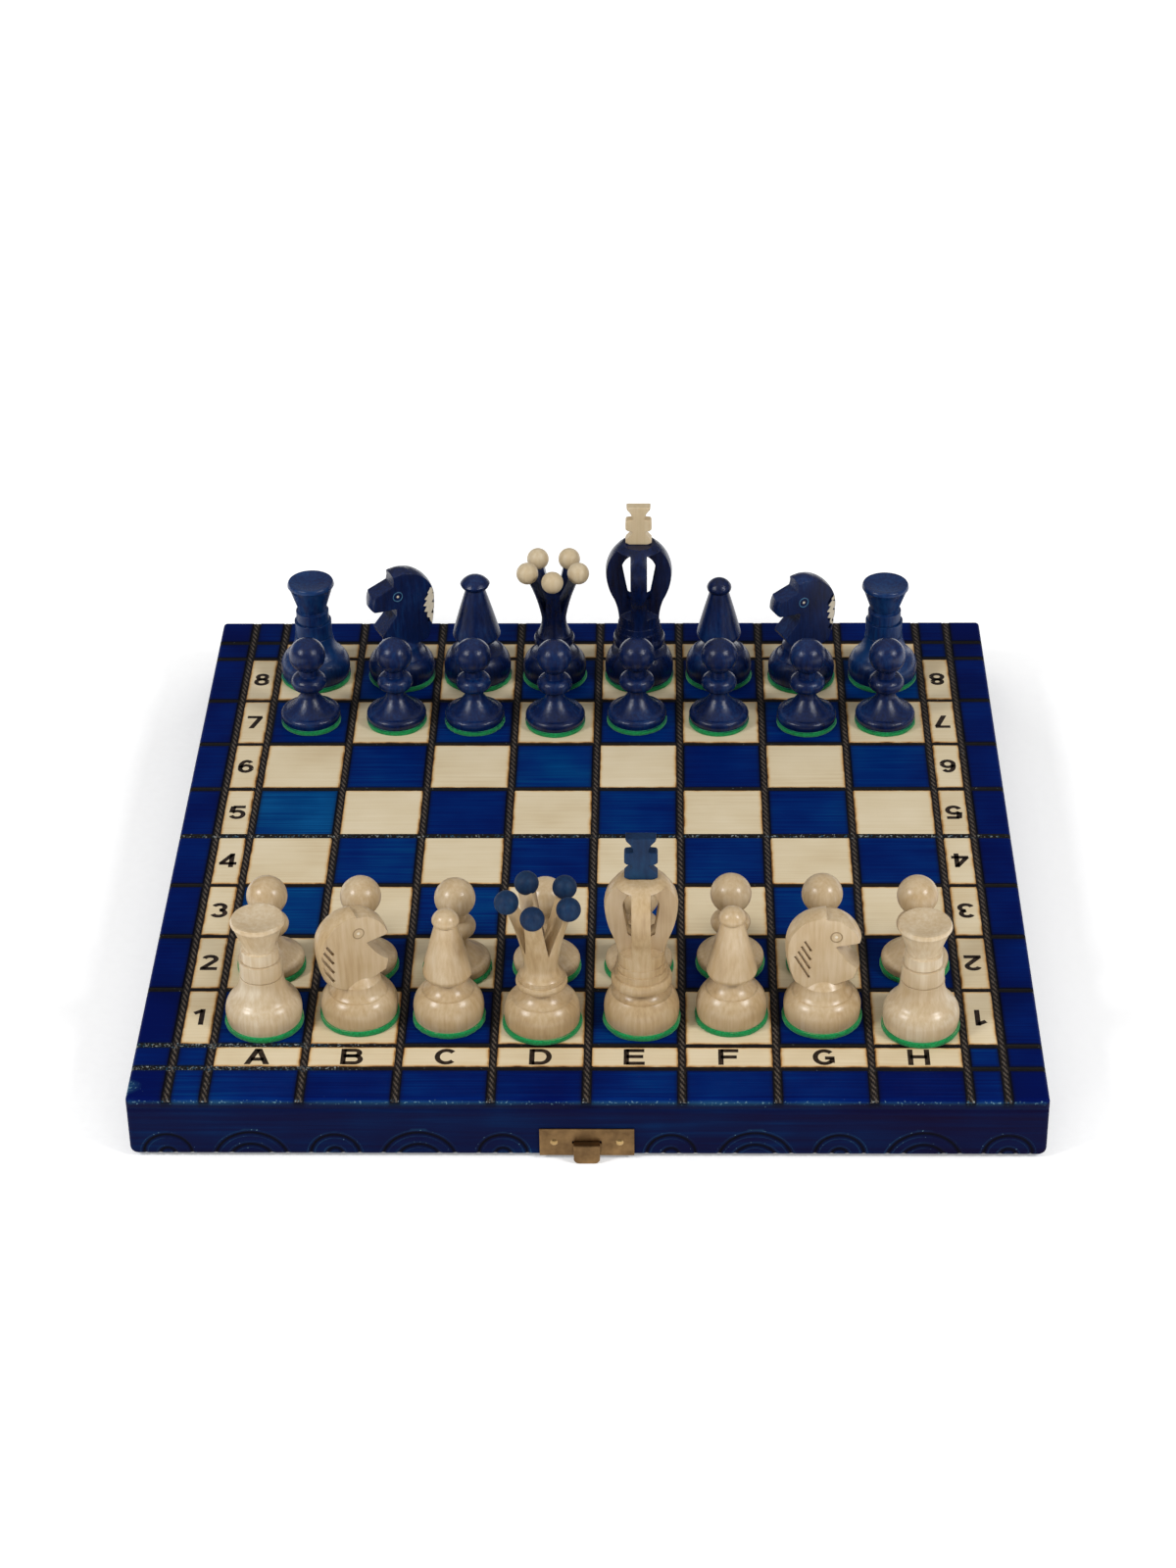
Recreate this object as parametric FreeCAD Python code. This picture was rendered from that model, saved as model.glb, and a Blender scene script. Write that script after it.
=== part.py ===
import FreeCAD, Part
import os
from math import atan2, cos, degrees, hypot, radians, sin, sqrt, tan

# A folding chess box that lies open, playing surface up, with its 32 men standing on it.
# X runs along the files' labels (A to H), +Y from white's side to blue's side, +Z up.
# The fold axis is the line Y = 0, and the table is Z = 0. All sizes are in mm.

# Box halves
board_width = 300.0
half_depth = 153.0
board_thickness = 23.0
panel_t = 4.0
wall_t = 7.0
edge_round = 1.5
fold_edge_round = 0.8
corner_round = 1.2
fold_gap = 0.4

# Playing surface: eight squares each way, a label band round them, then the border
square = 31.1
squares_per_side = 8
label_band = 12.25
file_groove_w = 3.0
file_groove_depth = 0.6
rank_groove_w = 1.8
rank_groove_depth = 0.5

# Burnt arcs on the outer walls
arc_large_r = (12.4, 7.6)
arc_large_drop = 3.5
arc_small_r = (8.0, 2.6)
arc_line_w = 1.0
arc_depth = 0.35
arc_pitch = 27.5
end_wall_arcs_per_side = 5
side_wall_arcs = 5

# Hinges
knuckle_r = 1.2
hinge_pin_r = 0.5
pin_clearance = 0.05
knuckle_end_gap = 0.2
knuckle_recess = 0.3
hinge_x = 95.0
leaf_len = 25.0
leaf_reach = 6.2
leaf_t = 0.8
middle_knuckle_len = 8.2
rim_gap = 0.1

# Nails
nail_r = 0.6
nail_len = 5.0
nail_head_r = 1.3
nail_head_h = 0.5
hinge_nail_x = 8.0
hinge_nail_y = 3.7

# Latch on the front wall, strike on the back wall
latch_w = 31.0
latch_h = 10.8
latch_t = 0.6
latch_above_rim = 0.2
latch_nail_x = 10.7
tongue_w = 8.6
tongue_t = 0.7
tongue_proud = 1.9
tongue_tab_h = 4.0
tongue_play = 0.05
tongue_side_gap = 0.4
tongue_slot_gap = 0.15
tongue_table_gap = 0.1
tongue_corner_r = 1.8
barb_reach = 0.8
barb_h = 0.4
pocket_depth = 2.0
pocket_end_gap = 0.6
strike_w = 20.0
strike_h = 6.0
strike_lip = 1.5
strike_catch_gap = 0.1
strike_nail_x = 7.0
strike_nail_above = 3.6

# Men: felt, then heights above the board and radii
felt_t = 1.8
felt_over = 0.5
base_rim_z = 5.6
base_tuck = 0.4
shoulder_step = 0.6
slope_hollow = 0.5
ring_edge = 0.5
pawn_base_r = 11.5
pawn_rim_round = 1.8
pawn_neck_r = 3.6
pawn_neck_z = 12.2
pawn_bead_r = 6.8
pawn_bead_z = 17.8
pawn_bead_half = 3.1
pawn_head_r = 7.0
pawn_head_z = 29.5
rook_shoulder_in = 2.8
rook_shoulder_z = 11.2
rook_trunk_r = 7.4
rook_trunk_z = 19.5
rook_band_r = (7.2, 6.4)
rook_band_z = (25.8, 30.3)
rook_waist = 0.8
rook_groove = 0.35
rook_neck_r = 5.3
rook_neck_h = 0.4
rook_cup_r = 9.1
rook_lip_h = 2.0
rook_lip_edge = 0.5
rook_lip_w = 1.5
rook_dish_depth = 1.0
bishop_shoulder_in = 3.0
bishop_shoulder_z = 12.3
bishop_neck_r = 5.0
bishop_neck_z = 16.6
bishop_neck_h = 0.6
bishop_skirt_z = 19.7
bishop_skirt_swell = 0.9
bishop_skirt_bow = 0.15
bishop_top_r = 3.7
bishop_knob_half = 3.2
bishop_knob_seat = 2.4
bishop_knob_swell = 0.4
queen_shoulder_in = 2.7
queen_shoulder_z = 11.4
queen_neck_r = 6.2
queen_neck_z = 15.4
queen_ring_z = 17.7
queen_ring_half = 1.3
queen_cup_over = 1.0
queen_cup_wall = 4.2
queen_cup_hollow = 0.8
queen_notch_z = 31.0
queen_notch_w = 8.6
queen_bowl_z = 36.0
queen_prongs = 5
queen_ball_r = 3.9
queen_ball_rise = 1.0
king_shoulder_in = 2.4
king_shoulder_z = 12.4
king_neck_r = 7.4
king_neck_z = 15.6
king_ring_r = 10.6
king_ring_z = 18.0
king_ring_half = 1.7
king_ring_swell = 0.35
king_steps = 2
king_step_w = 0.6
king_crown_foot_r = 7.8
king_crown_foot_z = 24.9
king_flank_r = 10.0
king_flank_z = 36.5
king_crown_z = 48.0
king_crown_top_r = 6.4
king_strut_w = 6.3
king_hollow_foot_z = 32.5
king_hollow_side_r = 5.4
king_hollow_side_z = 37.0
king_crown_roof = 3.0
king_window_z = 34.0
king_window_fall = 0.55
king_cross_h = 16.1
king_cross_t = 4.0
knight_base_r = 13.0
knight_shoulder_r = 10.3
knight_shoulder_z = 11.0
knight_neck_r = 7.6
knight_neck_z = 15.4
knight_neck_h = 2.5
knight_neck_taper = 2.5
knight_foot_r = 10.6
knight_foot_z = 18.0
knight_head_drop = 13.2
knight_crest_r = 4.1
knight_crest_h = 1.1
knight_cheek_foot_t = 10.5
knight_cheek_top_t = 7.5
knight_slashes = 4
knight_slash_w = 0.8
knight_slash_depth = 1.2
knight_slash_len = 4.4
knight_slash_grow = 1.8
knight_slash_lean = 30.0
knight_slash_drop = 11.5
knight_slash_step_x = 0.6
knight_slash_step_z = 2.7

# Knights: heads carved by hand, one way on each side. Outlines seen from the right, as parts of the
# blank's radius (towards the nose) and of its height (above the neck), from throat to nose to mane
white_head = ((-1.1, 0.12), (-0.38, 0.0), (0.34, 0.06), (0.55, 0.10), (0.80, 0.15), (0.97, 0.215),
              (0.97, 0.25), (0.72, 0.325), (0.54, 0.41), (0.30, 0.565), (0.33, 0.585), (0.80, 0.62),
              (0.98, 0.645), (1.08, 0.68), (1.08, 0.74), (0.98, 0.77), (0.98, 0.83), (0.90, 0.905),
              (0.06, 0.95), (0.02, 1.05), (-1.1, 1.05))
blue_head = ((-1.1, 0.12), (-0.35, 0.03), (0.45, 0.08), (0.72, 0.19), (0.74, 0.23), (0.26, 0.45),
             (0.24, 0.53), (0.30, 0.545), (0.74, 0.55), (0.97, 0.56), (1.06, 0.60), (1.06, 0.67),
             (0.94, 0.735), (0.31, 0.835), (0.28, 0.90), (0.30, 0.96), (0.22, 1.05), (-1.1, 1.05))

# Sizes that differ from man to man, since each was turned by hand. Two of a kind come in file order
white_rooks = ((12.9, 42.0), (12.9, 42.0))
blue_rooks = ((13.6, 43.1), (13.5, 42.0))
white_knights = ((43.4, 12.5, 1.5, -9.2), (43.4, 12.8, 0.0, -5.4))
blue_knights = ((48.6, 13.3, 0.6, -10.2), (46.5, 12.9, 0.0, -10.0))
white_bishops = ((11.9, 8.3, 4.45, 40.9), (11.9, 8.5, 4.4, 41.3))
blue_bishops = ((13.2, 9.4, 5.75, 42.2), (12.9, 8.7, 4.75, 40.7))
white_queen = (12.9, 8.7, 5.7, 24.8, 11.0, 49.0)
blue_queen = (12.4, 8.0, 4.8, 27.6, 10.4, 47.5)
white_king = (12.7, 12.2, 58.0, 6.7)
blue_king = (13.4, 12.9, 60.2, 7.1)
white_cross_w = 11.0
blue_cross_w = 10.1

# How large each side came out against the sizes above
white_scale = 0.992
blue_scale = 0.979

# How each man stands off the middle of its square along X and along Y: the back rank, then the pawns.
# The turns are the back rank's, from file a to file h
white_stand_x = ((0.5, 1.1, 0.0, 0.2, 2.2, 1.0, 0.1, 1.6), (0.0, 0.6, 1.4, 0.8, 1.1, 1.1, 0.7, 1.6))
white_stand_y = ((-1.5, 2.0, -0.1, -2.7, -0.6, 0.9, 0.9, -3.9),
                 (-1.9, -2.0, -3.2, -2.6, -2.3, -0.5, -0.6, -1.6))
blue_stand_x = ((-0.8, 1.5, -0.2, -1.4, 0.1, -0.4, 0.3, 0.6), (0.0, 1.5, 0.1, -0.4, -0.6, -0.7, 1.3, -0.1))
blue_stand_y = ((2.9, 2.9, 2.9, 2.3, 2.7, 3.0, 1.3, 2.4), (1.3, 1.3, 0.8, -0.1, 1.4, 0.6, 0.1, 0.4))
white_turns = (0.0, 25.0, 0.0, -11.0, 0.0, 0.0, 0.0, 0.0)
blue_turns = (0.0, 206.0, 0.0, 0.0, 0.0, 0.0, 206.0, 0.0)

# Derived levels
axis_z = knuckle_r
rim_z = axis_z + rim_gap
top_z = rim_z + board_thickness
wall_top_z = top_z - panel_t
half_width = board_width / 2.0
spine_y = fold_gap / 2.0
field_half = squares_per_side / 2.0 * square
overcut = 5.0

os.makedirs("parts", exist_ok=True)


def save(node, solids):
    """Write one node's solids, which stay separate."""
    shape = solids[0] if len(solids) == 1 else Part.makeCompound(solids)
    shape.exportStep("parts/" + node + ".step")


def block(x0, x1, y0, y1, z0, z1):
    """Box between two corners, given in any order along Y."""
    low_y = min(y0, y1)
    return Part.makeBox(x1 - x0, abs(y1 - y0), z1 - z0, FreeCAD.Vector(x0, low_y, z0))


def rod_x(r, x0, x1, y, z):
    """Cylinder along X."""
    return Part.makeCylinder(r, x1 - x0, FreeCAD.Vector(x0, y, z), FreeCAD.Vector(1, 0, 0))


def round_edges(solid, r, wanted):
    """Fillet the edges whose bounding box passes the test."""
    edges = [e for e in solid.Edges if wanted(e.BoundBox)]
    return solid.makeFillet(r, edges)


def turned(path):
    """Solid of revolution. Each step is (r, z), or (r, z, rise) for an arc that stands out by rise."""
    edges = []
    here = path[0]
    for step in path[1:]:
        start = FreeCAD.Vector(here[0], 0, here[1])
        end = FreeCAD.Vector(step[0], 0, step[1])
        if len(step) == 3:
            chord = end - start
            out = FreeCAD.Vector(chord.z, 0, -chord.x).normalize()
            middle = (start + end) * 0.5 + out * step[2]
            edges.append(Part.Arc(start, middle, end).toShape())
        else:
            edges.append(Part.makeLine(start, end))
        here = step
    first = FreeCAD.Vector(path[0][0], 0, path[0][1])
    edges.append(Part.makeLine(FreeCAD.Vector(here[0], 0, here[1]), first))
    face = Part.Face(Part.Wire(edges))
    solid = face.revolve(FreeCAD.Vector(0, 0, 0), FreeCAD.Vector(0, 0, 1), 360)
    return solid if solid.Volume > 0 else solid.reversed()


# Panels: the rounded outer edges first, then the grooves, which run out through the border


def panel(side):
    near = side * spine_y
    far = side * half_depth
    solid = block(-half_width, half_width, near, far, wall_top_z, top_z)
    solid = round_edges(solid, corner_round,
                        lambda b: b.ZLength > panel_t / 2.0 and abs(b.YMin) > half_depth / 2.0)
    solid = round_edges(solid, edge_round,
                        lambda b: b.ZMin > top_z - panel_t / 2.0 and abs(b.YMin + b.YMax) > 3.0 * fold_gap)
    solid = round_edges(solid, fold_edge_round,
                        lambda b: b.ZMin > top_z - panel_t / 2.0 and abs(b.YMin) < fold_gap
                        and abs(b.YMax) < fold_gap and b.XLength > half_width)
    cuts = []
    file_lines = [-field_half - label_band, field_half + label_band]
    for i in range(squares_per_side + 1):
        file_lines.append(-field_half + i * square)
    for x in file_lines:
        cuts.append(block(x - file_groove_w / 2.0, x + file_groove_w / 2.0, near - side * overcut,
                          far + side * overcut, top_z - file_groove_depth, top_z + overcut))
    rank_lines = [i * square for i in range(1, squares_per_side // 2 + 1)]
    rank_lines.append(field_half + label_band)
    for y in rank_lines:
        cuts.append(block(-half_width - overcut, half_width + overcut, side * y - rank_groove_w / 2.0,
                          side * y + rank_groove_w / 2.0, top_z - rank_groove_depth, top_z + overcut))
    return solid.cut(Part.makeCompound(cuts).Solids)


# Burnt arcs: concentric half rings that stand on a wall's rim, the large ones struck from below it


def arc_rings(radii, centre, outward):
    rings = []
    start = centre - outward * arc_depth
    for r in radii:
        outer = Part.makeCylinder(r + arc_line_w / 2.0, 2.0 * arc_depth, start, outward)
        inner = Part.makeCylinder(r - arc_line_w / 2.0, 2.0 * arc_depth, start, outward)
        rings.append(outer.cut(inner))
    return rings


def arc_row(count, start, step, outward, place, first_large):
    """Arcs in a row, small and large by turns."""
    rings = []
    for i in range(count):
        centre = place(start + i * step)
        if (i % 2 == 0) == first_large:
            rings += arc_rings(arc_large_r, centre - FreeCAD.Vector(0, 0, arc_large_drop), outward)
        else:
            rings += arc_rings(arc_small_r, centre, outward)
    return rings


def end_wall(side):
    solid = block(-half_width, half_width, side * (half_depth - wall_t), side * half_depth, rim_z, wall_top_z)
    solid = round_edges(solid, corner_round,
                        lambda b: b.ZLength > wall_t and b.YMin * side > half_depth - wall_t / 2.0)
    outward = FreeCAD.Vector(0, side, 0)
    rings = []
    for hand in (-1, 1):
        rings += arc_row(end_wall_arcs_per_side, hand * arc_pitch, hand * arc_pitch, outward,
                         lambda x: FreeCAD.Vector(x, side * half_depth, rim_z), False)
    return solid.cut(rings)


def side_wall(side, hand):
    near = side * (spine_y + wall_t)
    far = side * (half_depth - wall_t)
    solid = block(min(hand * half_width, hand * (half_width - wall_t)),
                  max(hand * half_width, hand * (half_width - wall_t)), near, far, rim_z, wall_top_z)
    outward = FreeCAD.Vector(hand, 0, 0)
    middle = (near + far) / 2.0
    start = middle - (side_wall_arcs - 1) / 2.0 * arc_pitch
    rings = arc_row(side_wall_arcs, start, arc_pitch, outward,
                    lambda y: FreeCAD.Vector(hand * half_width, y, rim_z), True)
    return solid.cut(rings)


def hinge_nail(x, y):
    """Countersunk nail, its head flush with the leaf, driven up into the rim."""
    head = Part.makeCone(nail_head_r, nail_r, leaf_t, FreeCAD.Vector(x, y, rim_z))
    shank = Part.makeCylinder(nail_r, nail_len, FreeCAD.Vector(x, y, rim_z + leaf_t))
    return head.fuse(shank).removeSplitter()


def hinge_nails(side):
    nails = []
    for centre in (-hinge_x, hinge_x):
        for offset in (-hinge_nail_x, hinge_nail_x):
            nails.append(hinge_nail(centre + offset, side * hinge_nail_y))
    return nails


def spine_wall(side):
    solid = block(-half_width, half_width, side * spine_y, side * (spine_y + wall_t), rim_z, wall_top_z)
    cuts = list(hinge_nails(side))
    for centre in (-hinge_x, hinge_x):
        x0 = centre - leaf_len / 2.0
        x1 = centre + leaf_len / 2.0
        cuts.append(block(x0, x1, 0.0, side * leaf_reach, rim_z - overcut, rim_z + leaf_t))
        cuts.append(rod_x(knuckle_r + knuckle_recess, x0 - knuckle_end_gap, x1 + knuckle_end_gap,
                          0.0, axis_z))
    return solid.cut(cuts)


def hinge_leaf(side, centre):
    """A leaf let into the rim. The front one has the outer knuckles, the back one the middle one."""
    x0 = centre - leaf_len / 2.0
    x1 = centre + leaf_len / 2.0
    mid0 = centre - middle_knuckle_len / 2.0
    mid1 = centre + middle_knuckle_len / 2.0
    outer = [(x0, mid0 - knuckle_end_gap), (mid1 + knuckle_end_gap, x1)]
    own = outer if side < 0 else [(mid0, mid1)]
    if side < 0:
        free = [(mid0 - knuckle_end_gap, mid1 + knuckle_end_gap)]
    else:
        free = [(x0 - overcut, mid0), (mid1, x1 + overcut)]
    leaf = block(x0, x1, side * pin_clearance, side * leaf_reach, rim_z, rim_z + leaf_t)
    for a, b in free:
        leaf = leaf.cut(rod_x(knuckle_r + knuckle_recess, a, b, 0.0, axis_z))
    leaf = leaf.fuse([rod_x(knuckle_r, a, b, 0.0, axis_z) for a, b in own])
    bore_r = hinge_pin_r if side < 0 else hinge_pin_r + pin_clearance
    leaf = leaf.cut(rod_x(bore_r, x0 - overcut, x1 + overcut, 0.0, axis_z))
    return leaf.cut(hinge_nails(side)).removeSplitter()


# Latch: a slotted plate, a bent tongue that pivots in the slot, two domed nails

plate_y = -half_depth
plate_face_y = plate_y - latch_t
latch_z0 = rim_z + latch_above_rim
latch_mid_z = latch_z0 + latch_h / 2.0
pivot_z = latch_mid_z


def wall_nail(x, face, z, side):
    """Domed nail through a plate into a wall."""
    into = FreeCAD.Vector(0, -side, 0)
    shank = Part.makeCylinder(nail_r, nail_len, FreeCAD.Vector(x, face, z), into)
    ball_r = (nail_head_r ** 2 + nail_head_h ** 2) / (2.0 * nail_head_h)
    ball = Part.makeSphere(ball_r, FreeCAD.Vector(x, face + side * (nail_head_h - ball_r), z))
    dome = ball.common(block(x - ball_r, x + ball_r, face, face + side * ball_r, z - ball_r, z + ball_r))
    return dome.fuse(shank).removeSplitter()


def latch_nails():
    return [wall_nail(hand * latch_nail_x, plate_face_y, latch_mid_z, -1) for hand in (-1, 1)]


def latch_plate():
    solid = block(-latch_w / 2.0, latch_w / 2.0, plate_face_y, plate_y, latch_z0, latch_z0 + latch_h)
    slot_half = tongue_t / 2.0 + tongue_slot_gap
    slot = block(-tongue_w / 2.0 - tongue_side_gap, tongue_w / 2.0 + tongue_side_gap, plate_face_y - overcut,
                 plate_y + overcut, pivot_z - slot_half, pivot_z + slot_half)
    return solid.cut([slot] + latch_nails())


def latch_pocket():
    """Hollow in the wall behind the plate, where the tongue's tab swings."""
    return block(-tongue_w / 2.0 - tongue_side_gap, tongue_w / 2.0 + tongue_side_gap, plate_y,
                 plate_y + pocket_depth, pivot_z - tongue_t / 2.0 - pocket_end_gap,
                 pivot_z + tongue_tab_h + pocket_end_gap)


def latch_tongue():
    half_w = tongue_w / 2.0
    half_t = tongue_t / 2.0
    tab_y = plate_y + tongue_play
    hang_y = plate_face_y - tongue_proud
    tip_z = tongue_table_gap
    tab = block(-half_w, half_w, tab_y, tab_y + tongue_t, pivot_z - half_t, pivot_z + tongue_tab_h)
    arm = block(-half_w, half_w, hang_y - tongue_t, tab_y + tongue_t, pivot_z - half_t, pivot_z + half_t)
    hang = block(-half_w, half_w, hang_y - tongue_t, hang_y, tip_z, pivot_z + half_t)
    barb = block(-half_w, half_w, hang_y, hang_y + barb_reach, tip_z, tip_z + barb_h)
    solid = tab.fuse([arm, hang, barb]).removeSplitter()
    solid = round_edges(solid, tongue_corner_r,
                        lambda b: b.YLength > barb_reach and b.ZMax < tip_z + barb_h and b.XLength < tongue_t)
    return round_edges(solid, half_t,
                       lambda b: b.XLength > half_w and b.ZMin > pivot_z and b.YMax < plate_face_y - half_t)


# Strike: when the box is shut, its lip comes to rest just above the tongue's barb

lip_z1 = 2.0 * axis_z - (tongue_table_gap + barb_h + strike_catch_gap)
strike_z0 = lip_z1 - latch_t
strike_nail_z = strike_z0 + strike_nail_above


def strike_nails():
    return [wall_nail(hand * strike_nail_x, half_depth + latch_t, strike_nail_z, 1) for hand in (-1, 1)]


def strike_plate():
    face = half_depth + latch_t
    plate = block(-strike_w / 2.0, strike_w / 2.0, half_depth, face, strike_z0, strike_z0 + strike_h)
    lip = block(-tongue_w / 2.0, tongue_w / 2.0, half_depth, face + strike_lip, strike_z0, lip_z1)
    return plate.fuse(lip).removeSplitter().cut(strike_nails())


# Men, each built about its own axis with the felt's underside at zero


def felt(base_r):
    return Part.makeCylinder(base_r - base_tuck + felt_over, felt_t)


def leave_upright(start, end):
    """Step of a turned path: an arc that leaves the start straight up."""
    lean = atan2(start[0] - end[0], end[1] - start[1])
    half_chord = hypot(end[0] - start[0], end[1] - start[1]) / 2.0
    return (end[0], end[1], half_chord * tan(lean / 2.0))


def arrive_upright(start, end):
    """Step of a turned path: an arc that reaches the end straight up."""
    r, z, rise = leave_upright(start, end)
    return (r, z, -rise)


def cap(start, end_z):
    """Last step of a turned path: part of a ball that is centred on the axis."""
    rise = abs(end_z - start[1])
    ball_r = (start[0] ** 2 + rise ** 2) / (2.0 * rise)
    chord = hypot(start[0], rise)
    stands_out = ball_r - sqrt(ball_r ** 2 - (chord / 2.0) ** 2)
    return (0.0, end_z, stands_out if end_z > start[1] else -stands_out)


def foot(base_r, rim_level):
    """Underside and flank of a base, drawn in a little towards the felt."""
    seat = (base_r - base_tuck, felt_t)
    return [(0.0, felt_t), seat, arrive_upright(seat, (base_r, rim_level))]


def dome_foot(base_r, shoulder_r, shoulder_z, neck_r, neck_z):
    """Domed base, a small ledge at its shoulder, then a hollow slope up to the neck."""
    return foot(base_r, base_rim_z) + [leave_upright((base_r, base_rim_z), (shoulder_r, shoulder_z)),
                                       (shoulder_r - shoulder_step, shoulder_z),
                                       (neck_r, neck_z, -slope_hollow)]


def pawn():
    rim = (pawn_base_r, base_rim_z - pawn_rim_round)
    neck_top = (pawn_neck_r, pawn_head_z - sqrt(pawn_head_r ** 2 - pawn_neck_r ** 2))
    return turned(foot(*rim) + [leave_upright(rim, (pawn_base_r - pawn_rim_round, base_rim_z)),
                                (pawn_neck_r, pawn_neck_z, -slope_hollow),
                                (pawn_neck_r, pawn_bead_z - pawn_bead_half),
                                (pawn_neck_r, pawn_bead_z + pawn_bead_half, pawn_bead_r - pawn_neck_r),
                                neck_top, cap(neck_top, pawn_head_z + pawn_head_r)])


def rook(base_r, height):
    """Waisted trunk, two bands with a groove cut under each, then a plain flaring cup."""
    path = foot(base_r, base_rim_z)
    path += [leave_upright((base_r, base_rim_z), (base_r - rook_shoulder_in, rook_shoulder_z)),
             (rook_trunk_r, rook_trunk_z, -rook_waist)]
    for r, z in zip(rook_band_r, rook_band_z):
        band_z = path[-1][1]
        path += [(r - rook_groove, band_z), (r, band_z + rook_groove), (r, z)]
    lip_z = height - rook_lip_h
    lip = (rook_cup_r, lip_z + rook_lip_edge)
    dish = (rook_cup_r - rook_lip_w, height)
    path += [(rook_neck_r, rook_band_z[-1] + rook_neck_h), (rook_cup_r - rook_lip_edge, lip_z), lip,
             leave_upright(lip, (rook_cup_r - rook_lip_edge, height)),
             dish, cap(dish, height - rook_dish_depth)]
    return turned(path)


def bishop(base_r, skirt_r, knob_r, knob_z):
    """Domed base, a long skirt undercut at its hem, and a flattened knob."""
    path = dome_foot(base_r, base_r - bishop_shoulder_in, bishop_shoulder_z, bishop_neck_r, bishop_neck_z)
    path += [(bishop_neck_r, bishop_neck_z + bishop_neck_h),
             (skirt_r, bishop_skirt_z, bishop_skirt_swell),
             (bishop_top_r, knob_z - bishop_knob_seat, bishop_skirt_bow),
             (knob_r, knob_z, bishop_knob_swell),
             cap((knob_r, knob_z), knob_z + bishop_knob_half)]
    return turned(path)


def queen_balls(ball_ring_r, cup_z):
    balls = []
    for i in range(queen_prongs):
        a = radians(-90.0 + i * 360.0 / queen_prongs)
        centre = FreeCAD.Vector(ball_ring_r * cos(a), ball_ring_r * sin(a), cup_z + queen_ball_rise)
        balls.append(Part.makeSphere(queen_ball_r, centre))
    return balls


def queen(base_r, ring_r, trunk_r, trunk_z, ball_ring_r, cup_z):
    """Turned cup, filed with V notches that leave five prongs, each hollowed at its end for a ball."""
    ring_top = queen_ring_z + queen_ring_half
    cup_r = ball_ring_r + queen_cup_over
    path = dome_foot(base_r, base_r - queen_shoulder_in, queen_shoulder_z, queen_neck_r, queen_neck_z)
    path += [(queen_neck_r, queen_ring_z - queen_ring_half),
             (ring_r - ring_edge, queen_ring_z - queen_ring_half),
             (ring_r - ring_edge, ring_top, ring_edge),
             (ring_r - 2.0 * ring_edge, ring_top),
             (ring_r - 2.0 * ring_edge, ring_top + queen_ring_half),
             (ring_r - 3.0 * ring_edge, ring_top + queen_ring_half),
             (trunk_r, trunk_z, -slope_hollow),
             (cup_r, cup_z, -queen_cup_hollow),
             (cup_r - queen_cup_wall, cup_z),
             (0.0, queen_bowl_z)]
    solid = turned(path)
    above = 1.0 + overcut / (cup_z - queen_notch_z)
    half_w = queen_notch_w / 2.0 * above
    top = queen_notch_z + (cup_z - queen_notch_z) * above
    corners = [(0.0, queen_notch_z), (half_w, top), (-half_w, top), (0.0, queen_notch_z)]
    notch = Part.Face(Part.makePolygon([FreeCAD.Vector(x, 0, z) for x, z in corners]))
    notch = notch.extrude(FreeCAD.Vector(0, 2.0 * cup_r, 0))
    for i in range(queen_prongs):
        cut = notch.copy()
        cut.rotate(FreeCAD.Vector(0, 0, 0), FreeCAD.Vector(0, 0, 1), i * 360.0 / queen_prongs)
        solid = solid.cut(cut)
    return solid.cut(queen_balls(ball_ring_r, cup_z))


def king(base_r, crown_r, crown_top_z, hollow_r):
    """Turned like the others, the onion crown then hollowed and cut through to leave four arches."""
    path = dome_foot(base_r, base_r - king_shoulder_in, king_shoulder_z, king_neck_r, king_neck_z)
    r = king_ring_r - ring_edge
    ring_top = king_ring_z + king_ring_half
    path += [(king_neck_r, king_ring_z - king_ring_half), (r, king_ring_z - king_ring_half),
             (r - ring_edge, ring_top, king_ring_swell)]
    step_h = (king_crown_foot_z - ring_top) / king_steps
    for i in range(king_steps):
        r = king_ring_r - (2.0 + i) * king_step_w
        path.append((r - king_step_w, path[-1][1]))
        path.append((r - king_step_w, ring_top + (i + 1) * step_h))
    crown_foot = (king_crown_foot_r, king_crown_foot_z)
    flank = (king_flank_r, king_flank_z)
    widest = (crown_r, king_crown_z)
    path += [crown_foot, leave_upright(crown_foot, flank), arrive_upright(flank, widest),
             leave_upright(widest, (king_crown_top_r, crown_top_z)), (0.0, crown_top_z)]
    solid = turned(path)
    hollow_top = (hollow_r, king_crown_z)
    hollow = turned([(0.0, king_hollow_foot_z), (king_hollow_side_r, king_hollow_side_z), hollow_top,
                     cap(hollow_top, crown_top_z - king_crown_roof)])
    reach = 2.0 * crown_r
    window = turned([(0.0, king_window_z), (reach, king_window_z - reach * king_window_fall),
                     (reach, crown_top_z), (0.0, crown_top_z - king_crown_roof)])
    cuts = [hollow]
    for hand_x in (-1, 1):
        for hand_y in (-1, 1):
            low_x = king_strut_w / 2.0 if hand_x > 0 else -king_strut_w / 2.0 - reach
            quarter = block(low_x, low_x + reach, hand_y * king_strut_w / 2.0, hand_y * reach,
                            0.0, crown_top_z)
            cuts.append(window.common(quarter))
    return solid.cut(cuts)


def king_cross(width, foot_z):
    """Flat cross, its right half drawn as parts of half its width and of its height."""
    right = [(0.62, 0.0), (0.95, 0.08), (0.95, 0.19), (0.62, 0.31), (0.75, 0.36), (1.0, 0.39),
             (1.0, 0.66), (0.76, 0.69), (0.68, 0.73), (0.90, 0.90), (0.95, 1.0)]
    outline = [(x * width / 2.0, z * king_cross_h) for x, z in right]
    outline += [(-x, z) for x, z in reversed(outline)]
    points = [FreeCAD.Vector(x, -king_cross_t / 2.0, foot_z + z) for x, z in outline + outline[:1]]
    return Part.Face(Part.makePolygon(points)).extrude(FreeCAD.Vector(0, king_cross_t, 0))


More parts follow.
